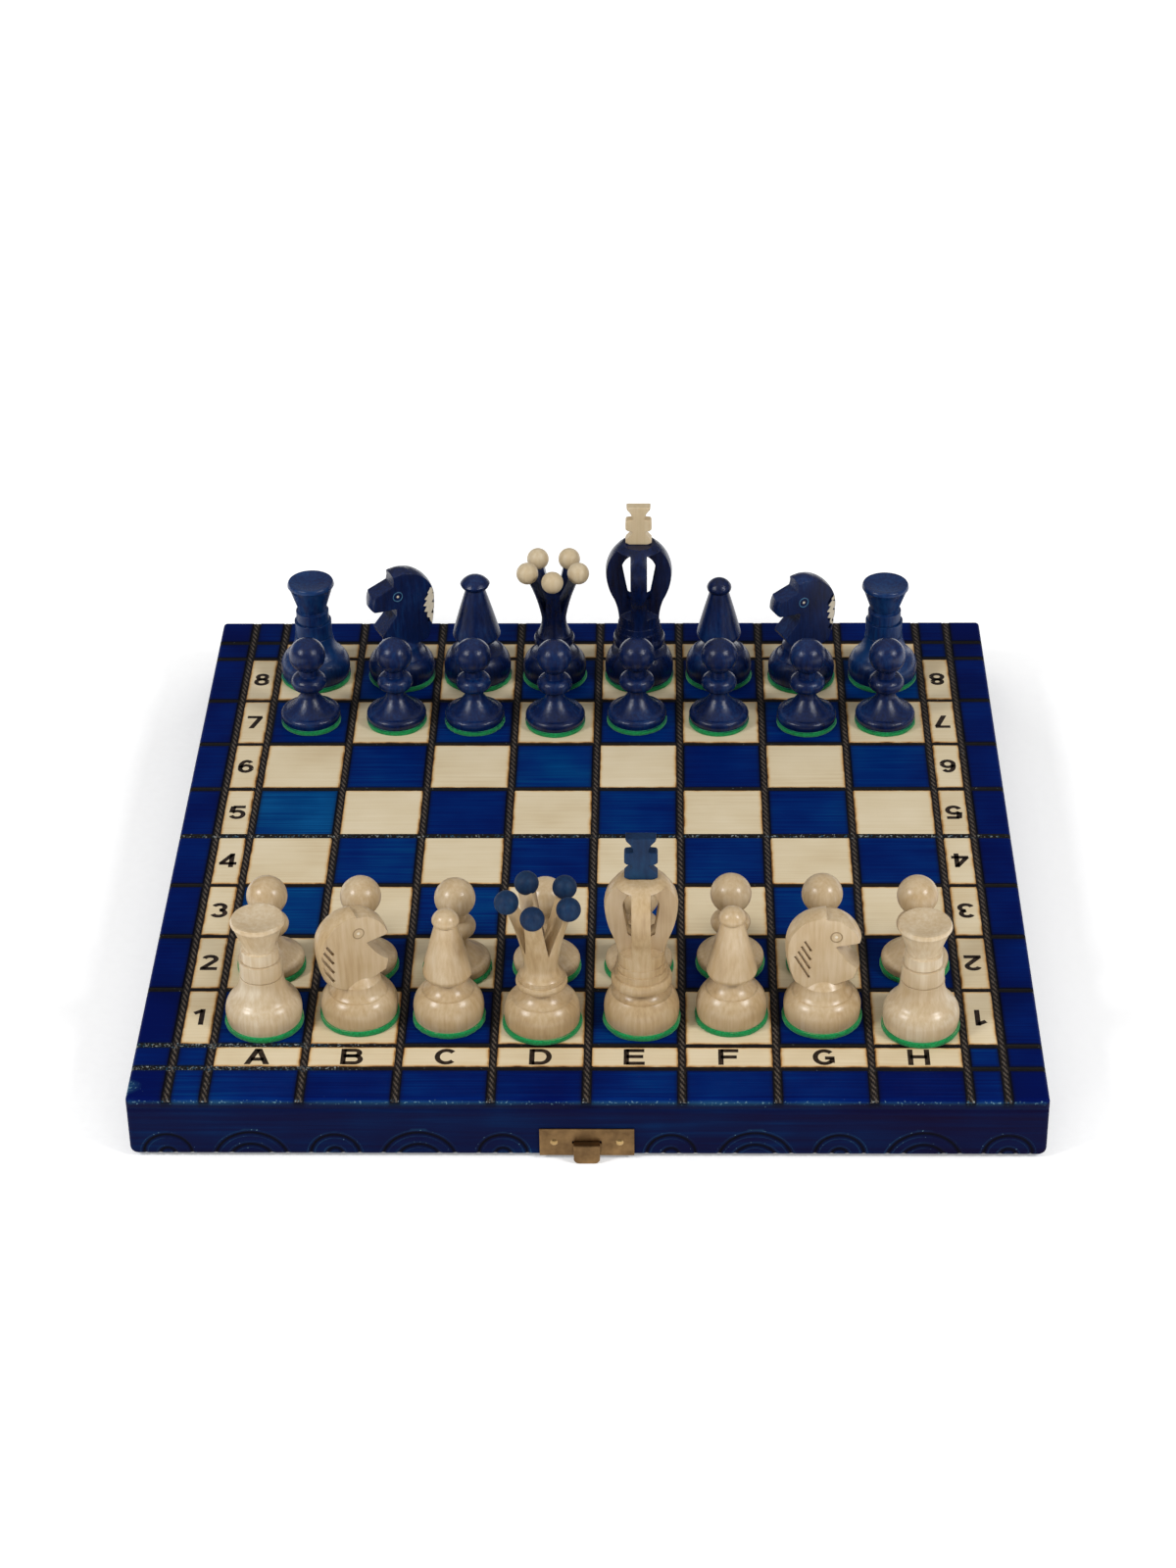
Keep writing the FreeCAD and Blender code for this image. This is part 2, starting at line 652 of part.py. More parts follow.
def cheek(z, height):
    """Half the head's thickness at a level."""
    part = (z - knight_neck_z) / (height - knight_neck_z)
    return (knight_cheek_foot_t + (knight_cheek_top_t - knight_cheek_foot_t) * part) / 2.0


def slashes(slash_x, height):
    """Saw cuts for the mane on both cheeks, longer from the top one down."""
    cuts = []
    for i in range(knight_slashes):
        length = knight_slash_len + i * knight_slash_grow
        z = height - knight_slash_drop - i * knight_slash_step_z
        tilt = degrees(atan2(cheek(z, height) - cheek(z + length, height), length))
        for side in (-1, 1):
            cut = Part.makeBox(knight_slash_w, 2.0 * knight_slash_depth, length)
            cut.translate(FreeCAD.Vector(-knight_slash_w / 2.0, -knight_slash_depth, -length / 2.0))
            cut.rotate(FreeCAD.Vector(0, 0, 0), FreeCAD.Vector(0, 1, 0), -knight_slash_lean)
            cut.rotate(FreeCAD.Vector(0, 0, 0), FreeCAD.Vector(1, 0, 0), side * tilt)
            cut.translate(FreeCAD.Vector(slash_x - i * knight_slash_step_x, side * cheek(z, height), z))
            cuts.append(cut)
    return cuts


def knight(outline, height, head_r, set_back, slash_x):
    """Turned base and turned head blank, the head sawn to two sloping cheeks and carved in side view."""
    path = dome_foot(knight_base_r, knight_shoulder_r, knight_shoulder_z, knight_neck_r, knight_neck_z)
    stub_z = knight_neck_z + knight_neck_h
    base = turned(path + [(knight_neck_r - knight_neck_taper, stub_z), (0.0, stub_z)])
    widest = (head_r, height - knight_head_drop)
    crest = (knight_crest_r, height - knight_crest_h)
    blank = turned([(0.0, knight_neck_z), (knight_neck_r, knight_neck_z), (knight_foot_r, knight_foot_z),
                    arrive_upright((knight_foot_r, knight_foot_z), widest),
                    leave_upright(widest, crest), cap(crest, height)])
    tall = height - knight_neck_z
    reach = 2.0 * head_r
    side_view = [FreeCAD.Vector(x * head_r, -reach, knight_neck_z + z * tall)
                 for x, z in outline + outline[:1]]
    side_view = Part.Face(Part.makePolygon(side_view)).extrude(FreeCAD.Vector(0, 2.0 * reach, 0))
    low = cheek(0.0, height)
    high_z = height + overcut
    high = cheek(high_z, height)
    front_view = [(low, 0.0), (high, high_z), (-high, high_z), (-low, 0.0), (low, 0.0)]
    front_view = Part.Face(Part.makePolygon([FreeCAD.Vector(-reach, y, z) for y, z in front_view]))
    front_view = front_view.extrude(FreeCAD.Vector(2.0 * reach, 0, 0))
    head = blank.common(side_view).common(front_view).cut(slashes(slash_x, height))
    head.translate(FreeCAD.Vector(-set_back, 0, 0))
    return base.fuse(head)


files = "abcdefgh"
back_rank = ["rook", "knight", "bishop", "queen", "king", "bishop", "knight", "rook"]


def set_down(shape, scale, file_index, rank, stand, turn):
    """Stand a man on its square."""
    placed = shape.copy()
    placed.scale(scale)
    placed.rotate(FreeCAD.Vector(0, 0, 0), FreeCAD.Vector(0, 0, 1), turn)
    middle = (squares_per_side - 1) / 2.0
    x = (file_index - middle) * square + stand[0]
    y = (rank - 1 - middle) * square + stand[1]
    placed.translate(FreeCAD.Vector(x, y, top_z))
    return placed


def set_out(colour, scale, ranks, stand_x, stand_y, rank_men, turns):
    """One side's sixteen men: the back rank, then the pawns. An officer is its wood and its base's radius."""
    for row in range(2):
        for i in range(squares_per_side):
            kind = back_rank[i] if row == 0 else "pawn"
            wood, base_r, *glued = rank_men[i] if row == 0 else (pawn(), pawn_base_r)
            turn = turns[i] if row == 0 else 0.0
            place = (scale, i, ranks[row], (stand_x[row][i], stand_y[row][i]), turn)
            node = colour + "_" + kind
            if kind not in ("queen", "king"):
                node += "_" + files[i]
            save(node, [set_down(wood, *place), set_down(felt(base_r), *place)])
            for name, shapes in glued:
                save(node + name, [set_down(shape, *place) for shape in shapes])


def officers(rooks, head, knights, bishops, queen_sizes, king_sizes, cross_w):
    """A back rank from file a to file h, with the queen's balls and the king's cross."""
    rook_a, rook_h = [(rook(*sizes), sizes[0]) for sizes in rooks]
    knight_b, knight_g = [(knight(head, *sizes), knight_base_r) for sizes in knights]
    bishop_c, bishop_f = [(bishop(*sizes), sizes[0]) for sizes in bishops]
    balls = ("_balls", queen_balls(*queen_sizes[-2:]))
    cross = ("_cross", [king_cross(cross_w, king_sizes[2])])
    return [rook_a, knight_b, bishop_c, (queen(*queen_sizes), queen_sizes[0], balls),
            (king(*king_sizes), king_sizes[0], cross), bishop_f, knight_g, rook_h]


set_out("white", white_scale, (1, 2), white_stand_x, white_stand_y,
        officers(white_rooks, white_head, white_knights, white_bishops, white_queen, white_king,
                 white_cross_w), white_turns)
set_out("blue", blue_scale, (8, 7), blue_stand_x, blue_stand_y,
        officers(blue_rooks, blue_head, blue_knights, blue_bishops, blue_queen, blue_king,
                 blue_cross_w), blue_turns)

for side, name in ((-1, "front"), (1, "back")):
    save(name + "_panel", [panel(side)])
    save(name + "_left_wall", [side_wall(side, -1)])
    save(name + "_right_wall", [side_wall(side, 1)])
    save(name + "_spine_wall", [spine_wall(side)])
    save("hinge_" + name + "_leaves", [hinge_leaf(side, x) for x in (-hinge_x, hinge_x)])
    save("hinge_" + name + "_nails", hinge_nails(side))

save("front_end_wall", [end_wall(-1).cut([latch_pocket()] + latch_nails())])
save("back_end_wall", [end_wall(1).cut(strike_nails())])
save("hinge_pins", [rod_x(hinge_pin_r, x - leaf_len / 2.0, x + leaf_len / 2.0, 0.0, axis_z)
                    for x in (-hinge_x, hinge_x)])
save("latch_plate", [latch_plate()])
save("latch_tongue", [latch_tongue()])
save("latch_nails", latch_nails())
save("strike_plate", [strike_plate()])
save("strike_nails", strike_nails())
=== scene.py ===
from math import cos, pi, radians, sin

import bmesh
import bpy
import numpy as np
from mathutils import Matrix, Vector
from mathutils.bvhtree import BVHTree


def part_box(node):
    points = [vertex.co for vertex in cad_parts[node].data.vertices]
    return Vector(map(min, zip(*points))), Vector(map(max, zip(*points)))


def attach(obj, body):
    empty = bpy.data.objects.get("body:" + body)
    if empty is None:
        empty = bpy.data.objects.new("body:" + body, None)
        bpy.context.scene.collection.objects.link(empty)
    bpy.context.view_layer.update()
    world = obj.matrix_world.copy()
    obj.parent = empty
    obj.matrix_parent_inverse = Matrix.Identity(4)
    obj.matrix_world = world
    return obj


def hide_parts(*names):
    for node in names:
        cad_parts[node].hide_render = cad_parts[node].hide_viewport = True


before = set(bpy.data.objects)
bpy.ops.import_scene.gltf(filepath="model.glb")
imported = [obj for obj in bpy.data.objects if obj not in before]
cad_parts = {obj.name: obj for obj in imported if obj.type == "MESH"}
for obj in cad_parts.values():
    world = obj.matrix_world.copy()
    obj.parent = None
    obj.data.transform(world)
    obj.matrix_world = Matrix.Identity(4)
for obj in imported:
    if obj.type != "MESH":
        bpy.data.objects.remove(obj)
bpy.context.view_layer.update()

# Playing panels
# A 4 mm birch plywood panel is glued over the walls of each half. Its squares were left natural or
# stained blue, then the lines between them were burnt in with a heated wheel: roped ones along the
# files, plain ones along the ranks. Sizes here are in mm.
mm = 0.001
square = 31.1
label_band = 12.25
lines = [-4.0 * square - label_band] + [(i - 4.0) * square for i in range(9)] + [4.0 * square + label_band]
halves = (("front", -1), ("back", 1))
# Burnt lines: width, depth and their sides' slope as a share of the width, and the rope left in a roped one
file_w = 3.0
file_depth = 0.6
file_side = 0.06
rope_h = 0.5
rope_low = 0.15
rope_pitch = 3.0
rope_slope = -2.0
rank_w = 2.2
rank_depth = 0.5
rank_side = 0.2
plain_ridge = 0.15
# Rounded edges, and how far the burns and the wear reach from lines and edges
edge_round = 1.5
fold_round = 0.8
fold_burn = 1.3
fold_wear = 0.6
scorch_reach = 0.5
wear_reach = 0.45
most_wear = 1.4
# The scuffed front left corner, and the front lines beside it that have filler in them
corner_scuff = (148.0, 147.0)
scuff_reach = 4.5
filled_from = 60.0
filled_rank = 3.9
filled_reach = 0.7
filled_wear = 0.85
# Tones of the borders and of single cells, by rank and column, against the rest
tone_spread = 0.03
end_border_dark = 0.09
side_border_dark = 0.14
paler_cells = {(6, 2): 0.16, (4, 2): 0.08, (5, 3): 0.05}
# The grid's steps, its rows beside a line as shares of the line's width, and its smallest gaps
row_step = 0.4
column_step = 6.0
round_steps = 6
line_rows = (0.16, 0.32, 0.44, 0.52, 0.65, 0.95)
edge_clear = 0.1
least_gap = 0.08
line_share = 0.6


def linear(hex_colour):
    """An sRGB hex colour as a linear RGBA one."""
    parts = [int(hex_colour[i:i + 2], 16) / 255.0 for i in (1, 3, 5)]
    return [c / 12.92 if c <= 0.04045 else ((c + 0.055) / 1.055) ** 2.4 for c in parts] + [1.0]


def add(tree, kind, inputs, ramp=(), **settings):
    """Add a shader node: its settings, its colour ramp's stops, and a value or a source for each input."""
    node = tree.nodes.new("ShaderNode" + kind)
    for name, value in settings.items():
        setattr(node, name, value)
    for i, (place, colour) in enumerate(ramp):
        stop = node.color_ramp.elements[i] if i < 2 else node.color_ramp.elements.new(place)
        stop.position = place
        stop.color = linear(colour)
    for name, value in inputs.items():
        if isinstance(value, bpy.types.NodeSocket):
            tree.links.new(value, node.inputs[name])
        else:
            node.inputs[name].default_value = value
    return node


def new_material(name):
    """An empty material's node tree, its surface shader and a source of object coordinates."""
    material = bpy.data.materials.new(name)
    material.use_nodes = True
    tree = material.node_tree
    place = add(tree, "TexCoord", {}).outputs["Object"]
    return material, tree, tree.nodes["Principled BSDF"], place


def natural_birch():
    """Birch left bare under satin lacquer: grain along X, scorched brown beside the burnt lines."""
    material, tree, shader, place = new_material("natural_birch_satin")
    along = add(tree, "Mapping", {"Vector": place, "Scale": (1 / (34 * mm), 1 / (0.7 * mm), 1 / (0.7 * mm))})
    grain = add(tree, "TexNoise", {"Vector": along.outputs[0], "Scale": 1.0, "Detail": 4.0, "Roughness": 0.6})
    cloud = add(tree, "TexNoise", {"Vector": place, "Scale": 1 / (22 * mm), "Detail": 2.0})
    tint = add(tree, "Attribute", {}, attribute_name="tint")
    mixed = add(tree, "Math", {0: grain.outputs["Fac"], 1: 0.5, 2: tint.outputs["Fac"]},
                operation="MULTIPLY_ADD")
    mixed = add(tree, "Math", {0: cloud.outputs["Fac"], 1: 0.5, 2: mixed.outputs[0]},
                operation="MULTIPLY_ADD")
    wood = add(tree, "ValToRGB", {"Fac": mixed.outputs[0]},
               ramp=[(0.3, "#d0bb96"), (0.7, "#e4d5b7"), (0.5, "#dccba9")])
    burn = add(tree, "Attribute", {}, attribute_name="burn")
    uneven = add(tree, "TexNoise", {"Vector": place, "Scale": 1 / (5 * mm), "Detail": 3.0})
    amount = add(tree, "Math", {0: burn.outputs["Fac"], 1: uneven.outputs["Fac"]}, operation="MULTIPLY")
    scorch = add(tree, "ValToRGB", {"Fac": amount.outputs[0]},
                 ramp=[(0.06, "#ffffff"), (0.66, "#6b4a30"), (0.25, "#f6e2c6"), (0.48, "#c39a6c")])
    colour = add(tree, "Mix", {0: 1.0, 6: wood.outputs[0], 7: scorch.outputs[0]}, data_type="RGBA",
                 blend_type="MULTIPLY")
    bump = add(tree, "Bump", {"Height": grain.outputs["Fac"], "Strength": 0.12, "Distance": 0.1 * mm})
    tree.links.new(colour.outputs[2], shader.inputs["Base Color"])
    tree.links.new(bump.outputs[0], shader.inputs["Normal"])
    shader.inputs["Roughness"].default_value = 0.45
    shader.inputs["Specular IOR Level"].default_value = 0.05
    return material


def blue_stain(name, stretch, stops):
    """Blue water stain, matte: streaks along the grain, burnt marks, and paler teal and pale specks where it
    is worn, which on the walls also paint a highlight beside the burnt rings.
    """
    material, tree, shader, place = new_material(name)
    along = add(tree, "Mapping", {"Vector": place, "Scale": stretch})
    streak = add(tree, "TexNoise", {"Vector": along.outputs[0], "Scale": 1.0, "Detail": 5.0,
                                    "Roughness": 0.62})
    cloud = add(tree, "TexNoise", {"Vector": place, "Scale": 1 / (26 * mm), "Detail": 2.0})
    tint = add(tree, "Attribute", {}, attribute_name="tint")
    mixed = add(tree, "Math", {0: streak.outputs["Fac"], 1: 0.6, 2: tint.outputs["Fac"]},
                operation="MULTIPLY_ADD")
    mixed = add(tree, "Math", {0: cloud.outputs["Fac"], 1: 0.4, 2: mixed.outputs[0]},
                operation="MULTIPLY_ADD")
    stain = add(tree, "ValToRGB", {"Fac": mixed.outputs[0]}, ramp=stops)
    wear = add(tree, "Attribute", {}, attribute_name="wear")
    # Paler teal and specks where worn; on the walls this also paints the highlight beside the burnt rings
    thin_stain_and_glint = add(tree, "Math", {0: wear.outputs["Fac"], 1: cloud.outputs["Fac"]}, operation="MULTIPLY")
    thin_stain_and_glint = add(tree, "MapRange", {0: thin_stain_and_glint.outputs[0], 1: 0.25, 2: 0.65, 3: 0.0, 4: 0.45})
    thin_stain_and_glint = add(tree, "Mix", {0: thin_stain_and_glint.outputs[0], 6: stain.outputs[0], 7: linear("#2c5f7c")}, data_type="RGBA")
    speck = add(tree, "TexNoise", {"Vector": place, "Scale": 1 / (0.9 * mm), "Detail": 3.0})
    worn = add(tree, "Math", {0: wear.outputs["Fac"], 1: 0.22, 2: speck.outputs["Fac"]},
               operation="MULTIPLY_ADD")
    worn = add(tree, "MapRange", {0: worn.outputs[0], 1: 0.79, 2: 0.88, 3: 0.0, 4: 0.75})
    rubbed_and_glint = add(tree, "Mix", {0: worn.outputs[0], 6: thin_stain_and_glint.outputs[2], 7: linear("#7198a6")},
                 data_type="RGBA")
    burn = add(tree, "Attribute", {}, attribute_name="burn")
    colour = add(tree, "Mix", {0: burn.outputs["Fac"], 6: rubbed_and_glint.outputs[2], 7: linear("#0b0b12")},
                 data_type="RGBA")
    bump = add(tree, "Bump", {"Height": streak.outputs["Fac"], "Strength": 0.2, "Distance": 0.1 * mm})
    tree.links.new(colour.outputs[2], shader.inputs["Base Color"])
    tree.links.new(bump.outputs[0], shader.inputs["Normal"])
    shader.inputs["Roughness"].default_value = 0.42
    shader.inputs["Specular IOR Level"].default_value = 0.02
    return material


def burnt_line():
    """Charred wood in the lines: painted highlight on the rope's crests and painted shade between its
    strands, chips of stain and filler in places.
    """
    material, tree, shader, place = new_material("burnt_birch_line")
    ridge = add(tree, "Attribute", {}, attribute_name="ridge")
    soot = add(tree, "TexNoise", {"Vector": place, "Scale": 1 / (1.2 * mm), "Detail": 4.0})
    # Painted highlight and shade: the char is lighter on the rope's crests and darker between its strands
    crest_highlight = add(tree, "Math", {0: ridge.outputs["Fac"], 1: 0.6}, operation="MULTIPLY")
    level = add(tree, "Math", {0: soot.outputs["Fac"], 1: 0.4, 2: crest_highlight.outputs[0]}, operation="MULTIPLY_ADD")
    char = add(tree, "ValToRGB", {"Fac": level.outputs[0]},
               ramp=[(0.22, "#0a0809"), (0.72, "#61574d"), (0.46, "#181415")])
    speck = add(tree, "TexNoise", {"Vector": place, "Scale": 1 / (0.7 * mm), "Detail": 2.0})
    chip = add(tree, "TexNoise", {"Vector": place, "Scale": 1 / (1.6 * mm)})
    chip = add(tree, "ValToRGB", {"Fac": chip.outputs["Fac"]}, ramp=[(0.45, "#1f5470"), (0.55, "#a3aaa8")])
    wear = add(tree, "Attribute", {}, attribute_name="wear")
    worn = add(tree, "Math", {0: wear.outputs["Fac"], 1: 0.2, 2: speck.outputs["Fac"]},
               operation="MULTIPLY_ADD")
    worn = add(tree, "MapRange", {0: worn.outputs[0], 1: 0.70, 2: 0.80, 3: 0.0, 4: 0.7})
    colour = add(tree, "Mix", {0: worn.outputs[0], 6: char.outputs[0], 7: chip.outputs[0]}, data_type="RGBA")
    tree.links.new(colour.outputs[2], shader.inputs["Base Color"])
    shader.inputs["Roughness"].default_value = 0.55
    shader.inputs["Specular IOR Level"].default_value = 0.15
    return material


def new_piece(name, points, faces, materials, slots=None):
    """A mesh object from points in mm, shaded smooth."""
    mesh = bpy.data.meshes.new(name)
    mesh.from_pydata((np.asarray(points) * mm).tolist(), [], faces)
    for material in materials:
        mesh.materials.append(material)
    if slots is not None:
        mesh.polygons.foreach_set("material_index", slots)
    mesh.shade_smooth()
    piece = bpy.data.objects.new(name, mesh)
    bpy.context.scene.collection.objects.link(piece)
    return piece


def mark(piece, name, domain, values):
    """Keep one number for each point or face, for a material to read."""
    piece.data.attributes.new(name, "FLOAT", domain).data.foreach_set("value", np.ravel(values))


def graded(width, low, high, step):
    """Places of a grid's rows: close in and beside each burnt line, a step apart elsewhere."""
    near = np.array(line_rows) * width
    near = np.concatenate([-near[::-1], [0.0], near])
    rows = [line + near for line in lines if line != 0.0 or step == column_step]
    rows = np.sort(np.concatenate(rows + [np.arange(low, high, step)]))
    rows = rows[(rows > low + edge_clear) & (rows < high - edge_clear)]
    return rows[np.append(True, np.diff(rows) > least_gap)]


def panel(name, side):
    """One half's panel: a fine grid with its lines sunk in it, then straight edges and a flat back."""
    low, high = (np.array(corner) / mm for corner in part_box(name))
    half_w = high[0]
    near, far = sorted(abs(y) for y in (low[1], high[1]))
    turn = np.sin(np.linspace(0.0, pi / 2.0, round_steps))
    inner = graded(file_w, edge_round - half_w, half_w - edge_round, column_step)
    side_turn = half_w - edge_round + edge_round * turn
    x, t = np.meshgrid(np.concatenate([-side_turn[::-1], inner, side_turn]),
                       np.concatenate([near + fold_round - fold_round * turn[::-1],
                                       graded(rank_w, near + fold_round, far - edge_round, row_step),
                                       far - edge_round + edge_round * turn]))
    # The edges are rounded, and the grid's square corners are drawn onto quarter discs
    u = np.clip((np.abs(x) - half_w + edge_round) / edge_round, 0.0, 1.0)
    v_fold = np.clip((near + fold_round - t) / fold_round, 0.0, 1.0)
    v_far = np.clip((t - far + edge_round) / edge_round, 0.0, 1.0)
    v = v_fold + v_far
    u_round = u * np.sqrt(1.0 - v ** 2 / 2.0)
    v_round = v * np.sqrt(1.0 - u ** 2 / 2.0)
    out = np.minimum(np.hypot(u_round, v_round), 1.0)
    v_size = np.where(v_fold > 0.0, fold_round, edge_round)
    size = (u_round * edge_round + v_round * v_size) / np.maximum(u_round + v_round, 1e-6)
    x = x + np.sign(x) * (u_round - u) * edge_round
    t = t + np.where(v_fold > 0.0, -1.0, 1.0) * (v_round - v) * v_size
    y = side * t
    # The lines are sunk in the top, and the rope stands in those along the files
    nearest = np.array(lines)[np.abs(x[..., None] - np.array(lines)).argmin(-1)]
    across = (x - nearest) / file_w
    ranks = np.abs(np.abs(y)[..., None] - np.array(lines[6:])).min(-1) / rank_w
    in_file = np.clip((0.5 - np.abs(across)) / file_side, 0.0, 1.0)
    strand = np.sin(pi * (y - rope_slope * (x - nearest)) / rope_pitch) ** 2
    ridge = np.clip(1.0 - (2.0 * across) ** 2, 0.0, 1.0) * (rope_low + (1.0 - rope_low) * strand)
    sunk = np.maximum(in_file * (file_depth - rope_h * ridge),
                      (np.abs(across) > 0.5) * rank_depth * np.clip((0.5 - ranks) / rank_side, 0.0, 1.0))
    z = high[2] - size * (1.0 - np.sqrt(1.0 - out ** 2)) - sunk * (1.0 - out)
    # The top, a skirt down its edges and a flat back make one closed skin
    rows, columns = x.shape
    index = np.arange(rows * columns).reshape(rows, columns)
    rim = np.concatenate([index[0], index[1:, -1], index[-1, -2::-1], index[-2:0:-1, 0]])
    points = np.stack([x, y, z], -1).reshape(-1, 3)
    back = points[rim] * (1.0, 1.0, 0.0) + (0.0, 0.0, low[2])
    below = np.arange(len(rim)) + len(points)
    quads = np.stack([index[:-1, :-1], index[:-1, 1:], index[1:, 1:], index[1:, :-1]], -1).reshape(-1, 4)
    skirt = np.stack([np.roll(rim, -1), rim, below, np.roll(below, -1)], -1)
    order = slice(None, None, side)
    faces = [face[order] for face in quads.tolist() + skirt.tolist() + [below[::-1].tolist()]]
    # Each face's finish, in the order of panel_finishes, comes from the cell or line that it lies in
    middle = points[quads].mean(1)
    column = np.searchsorted(lines, middle[:, 0])
    rank = np.searchsorted(lines, middle[:, 1])
    edge_column = np.isin(column, (0, 11)) | np.isin(rank, (0, 11))
    label_column = np.isin(column, (1, 10))
    label_row = np.isin(rank, (1, 10))
    label = (label_column ^ label_row) & ~edge_column
    blue = edge_column | (label_column & label_row) | (~label & ((column + rank) % 2 == 0))
    line = (np.abs(across) < 0.5) | (ranks < 0.5) | (t < near + fold_burn)
    line = line.ravel()[quads].mean(1) > line_share
    slots = np.concatenate([np.where(line, 2, np.where(blue, 1, 0)), np.full(len(rim), 3), [0]])
    piece = new_piece(name + "_wood", np.concatenate([points, back]), faces, panel_finishes, slots)
    piece.data.polygons[-1].use_smooth = False
    # What the finishes read: burns, wear, the rope's crests and each cell's tone
    pad = np.zeros(len(rim))
    gap = np.minimum(np.clip(np.abs(across) - 0.5, 0.0, None) * file_w,
                     np.clip(ranks - 0.5, 0.0, None) * rank_w)
    to_edge = np.minimum(np.minimum(half_w - np.abs(x), far - t), fold_wear * (t - near))
    mark(piece, "burn", "POINT", np.concatenate([np.exp(-gap / scorch_reach).ravel(), pad]))
    wear = np.exp(-to_edge / wear_reach)
    scuffed = np.hypot(x + corner_scuff[0], y + corner_scuff[1]) / scuff_reach
    wear += np.clip(most_wear - scuffed, 0.0, 1.0)
    filled = np.clip((-x - filled_from) / square, 0.0, filled_wear)
    wear += (ranks < filled_reach) * (y < -filled_rank * square) * filled
    mark(piece, "wear", "POINT", np.concatenate([np.clip(wear, 0.0, most_wear).ravel(), pad]))
    ridge = np.where(np.abs(across) < 0.5, ridge, plain_ridge)
    mark(piece, "ridge", "POINT", np.concatenate([ridge.ravel(), pad]))
    tone = np.random.default_rng(11).normal(0.0, tone_spread, (12, 12))
    tone[[0, 11]] -= end_border_dark
    tone[:, [0, 11]] -= side_border_dark
    for cell, paler in paler_cells.items():
        tone[cell] += paler
    mark(piece, "tint", "FACE", np.concatenate([tone[rank, column], np.zeros(len(rim) + 1)]))
    return piece


blue_stops = [(0.28, "#020f4c"), (0.85, "#0a5690"), (0.44, "#011c5e"), (0.54, "#01286a"), (0.68, "#013c75")]
wall_stops = [(0.28, "#120b27"), (0.80, "#0a3f62"), (0.44, "#0e1134"), (0.56, "#0b173d"), (0.66, "#08214a")]
along_x = (1 / (48 * mm), 1 / (0.9 * mm), 1 / (0.9 * mm))
wall_along_x = blue_stain("navy_stain_along_x", (1 / (70 * mm), 1 / (2 * mm), 1 / (2 * mm)), wall_stops)
wall_along_y = blue_stain("navy_stain_along_y", (1 / (2 * mm), 1 / (70 * mm), 1 / (2 * mm)), wall_stops)
birch = natural_birch()
panel_finishes = [birch, blue_stain("blue_stain_along_x", along_x, blue_stops), burnt_line(), wall_along_x]
for half, side in halves:
    piece = panel(half + "_panel", side)
    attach(piece, half + "_half")
    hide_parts(half + "_panel")

# Coordinates
# The letters and numbers are stamped in dark ink on the natural label cells and lie level with the wood.
# The far row and the right column face the other player. A stroke is a list of points and arcs, in mm.
letter_scale = 1.12
stroke_w = 1.55
slant_w = 1.8
steep = 1.2
arc_points = 17
ink_rise = 0.03
label_middle = 4.0 * square + label_band / 2.0
stem = [(-2.45, -3.75), (-2.45, 3.75)]
strokes = {
    "A": [[(-2.85, -3.75), (-0.1, 3.75)], [(2.85, -3.75), (0.1, 3.75)], [(-1.9, -1.3), (1.9, -1.3)]],
    "B": [stem, [(-2.45, 3.05), (0.7, 1.7, 1.5, 1.35, 90, -90), (-2.45, 0.35)],
          [(-2.45, 0.35), (0.9, -1.35, 1.7, 1.7, 90, -90), (-2.45, -3.05)]],
    "C": [[(0.1, 0.0, 2.65, 3.05, 42, 318)]],
    "D": [stem, [(-2.45, 3.05), (0.1, 0.0, 2.5, 3.05, 90, -90), (-2.45, -3.05)]],
    "E": [stem, [(-2.45, 3.05), (2.8, 3.05)], [(-2.45, 0.15), (2.5, 0.15)], [(-2.45, -3.05), (2.95, -3.05)]],
    "F": [stem, [(-2.45, 3.05), (2.7, 3.05)], [(-2.45, 0.0), (2.2, 0.0)]],
    "G": [[(0.1, 0.0, 2.65, 3.05, 42, 318)], [(0.3, -0.45), (3.1, -0.45)], [(2.35, -0.45), (2.35, -2.75)]],
    "H": [stem, [(2.45, -3.75), (2.45, 3.75)], [(-2.45, 0.2), (2.45, 0.2)]],
    "1": [[(0.7, -3.9), (0.7, 3.9)], [(0.7, 3.2), (-1.7, 1.75)]],
    "2": [[(0.0, 1.7, 1.85, 1.5, 165, -35), (-1.9, -3.0)], [(-2.6, -3.2), (2.6, -3.2)]],
    "3": [[(-0.1, 1.65, 1.75, 1.55, 160, -85)], [(0.0, -1.55, 1.95, 1.65, 85, -160)]],
    "4": [[(1.0, -3.9), (1.0, 3.9)], [(1.0, 3.4), (-2.2, -1.6)], [(-2.8, -1.75), (2.7, -1.75)]],
    "5": [[(-1.6, 3.2), (2.4, 3.2)], [(-1.5, 3.6), (-1.85, 0.0)], [(0.0, -1.2, 2.0, 2.0, 150, -160)]],
    "6": [[(0.05, -1.3, 1.9, 1.9, 0, 360)], [(0.1, -0.2, 1.95, 3.4, 190, 45)]],
    "7": [[(-2.5, 3.2), (2.5, 3.2)], [(1.9, 3.0), (-0.7, -3.9)]],
    "8": [[(0.0, 1.75, 1.6, 1.45, 0, 360)], [(0.0, -1.5, 1.9, 1.7, 0, 360)]],
}


def stamping_ink():
    """Brown-black ink, thinner where the wood took less of it."""
    material, tree, shader, place = new_material("stamped_black_ink")
    uneven = add(tree, "TexNoise", {"Vector": place, "Scale": 1 / (1.5 * mm), "Detail": 3.0})
    ink = add(tree, "ValToRGB", {"Fac": uneven.outputs["Fac"]}, ramp=[(0.35, "#17120f"), (0.75, "#3b2d24")])
    tree.links.new(ink.outputs[0], shader.inputs["Base Color"])
    shader.inputs["Roughness"].default_value = 0.5
    shader.inputs["Specular IOR Level"].default_value = 0.15
    return material


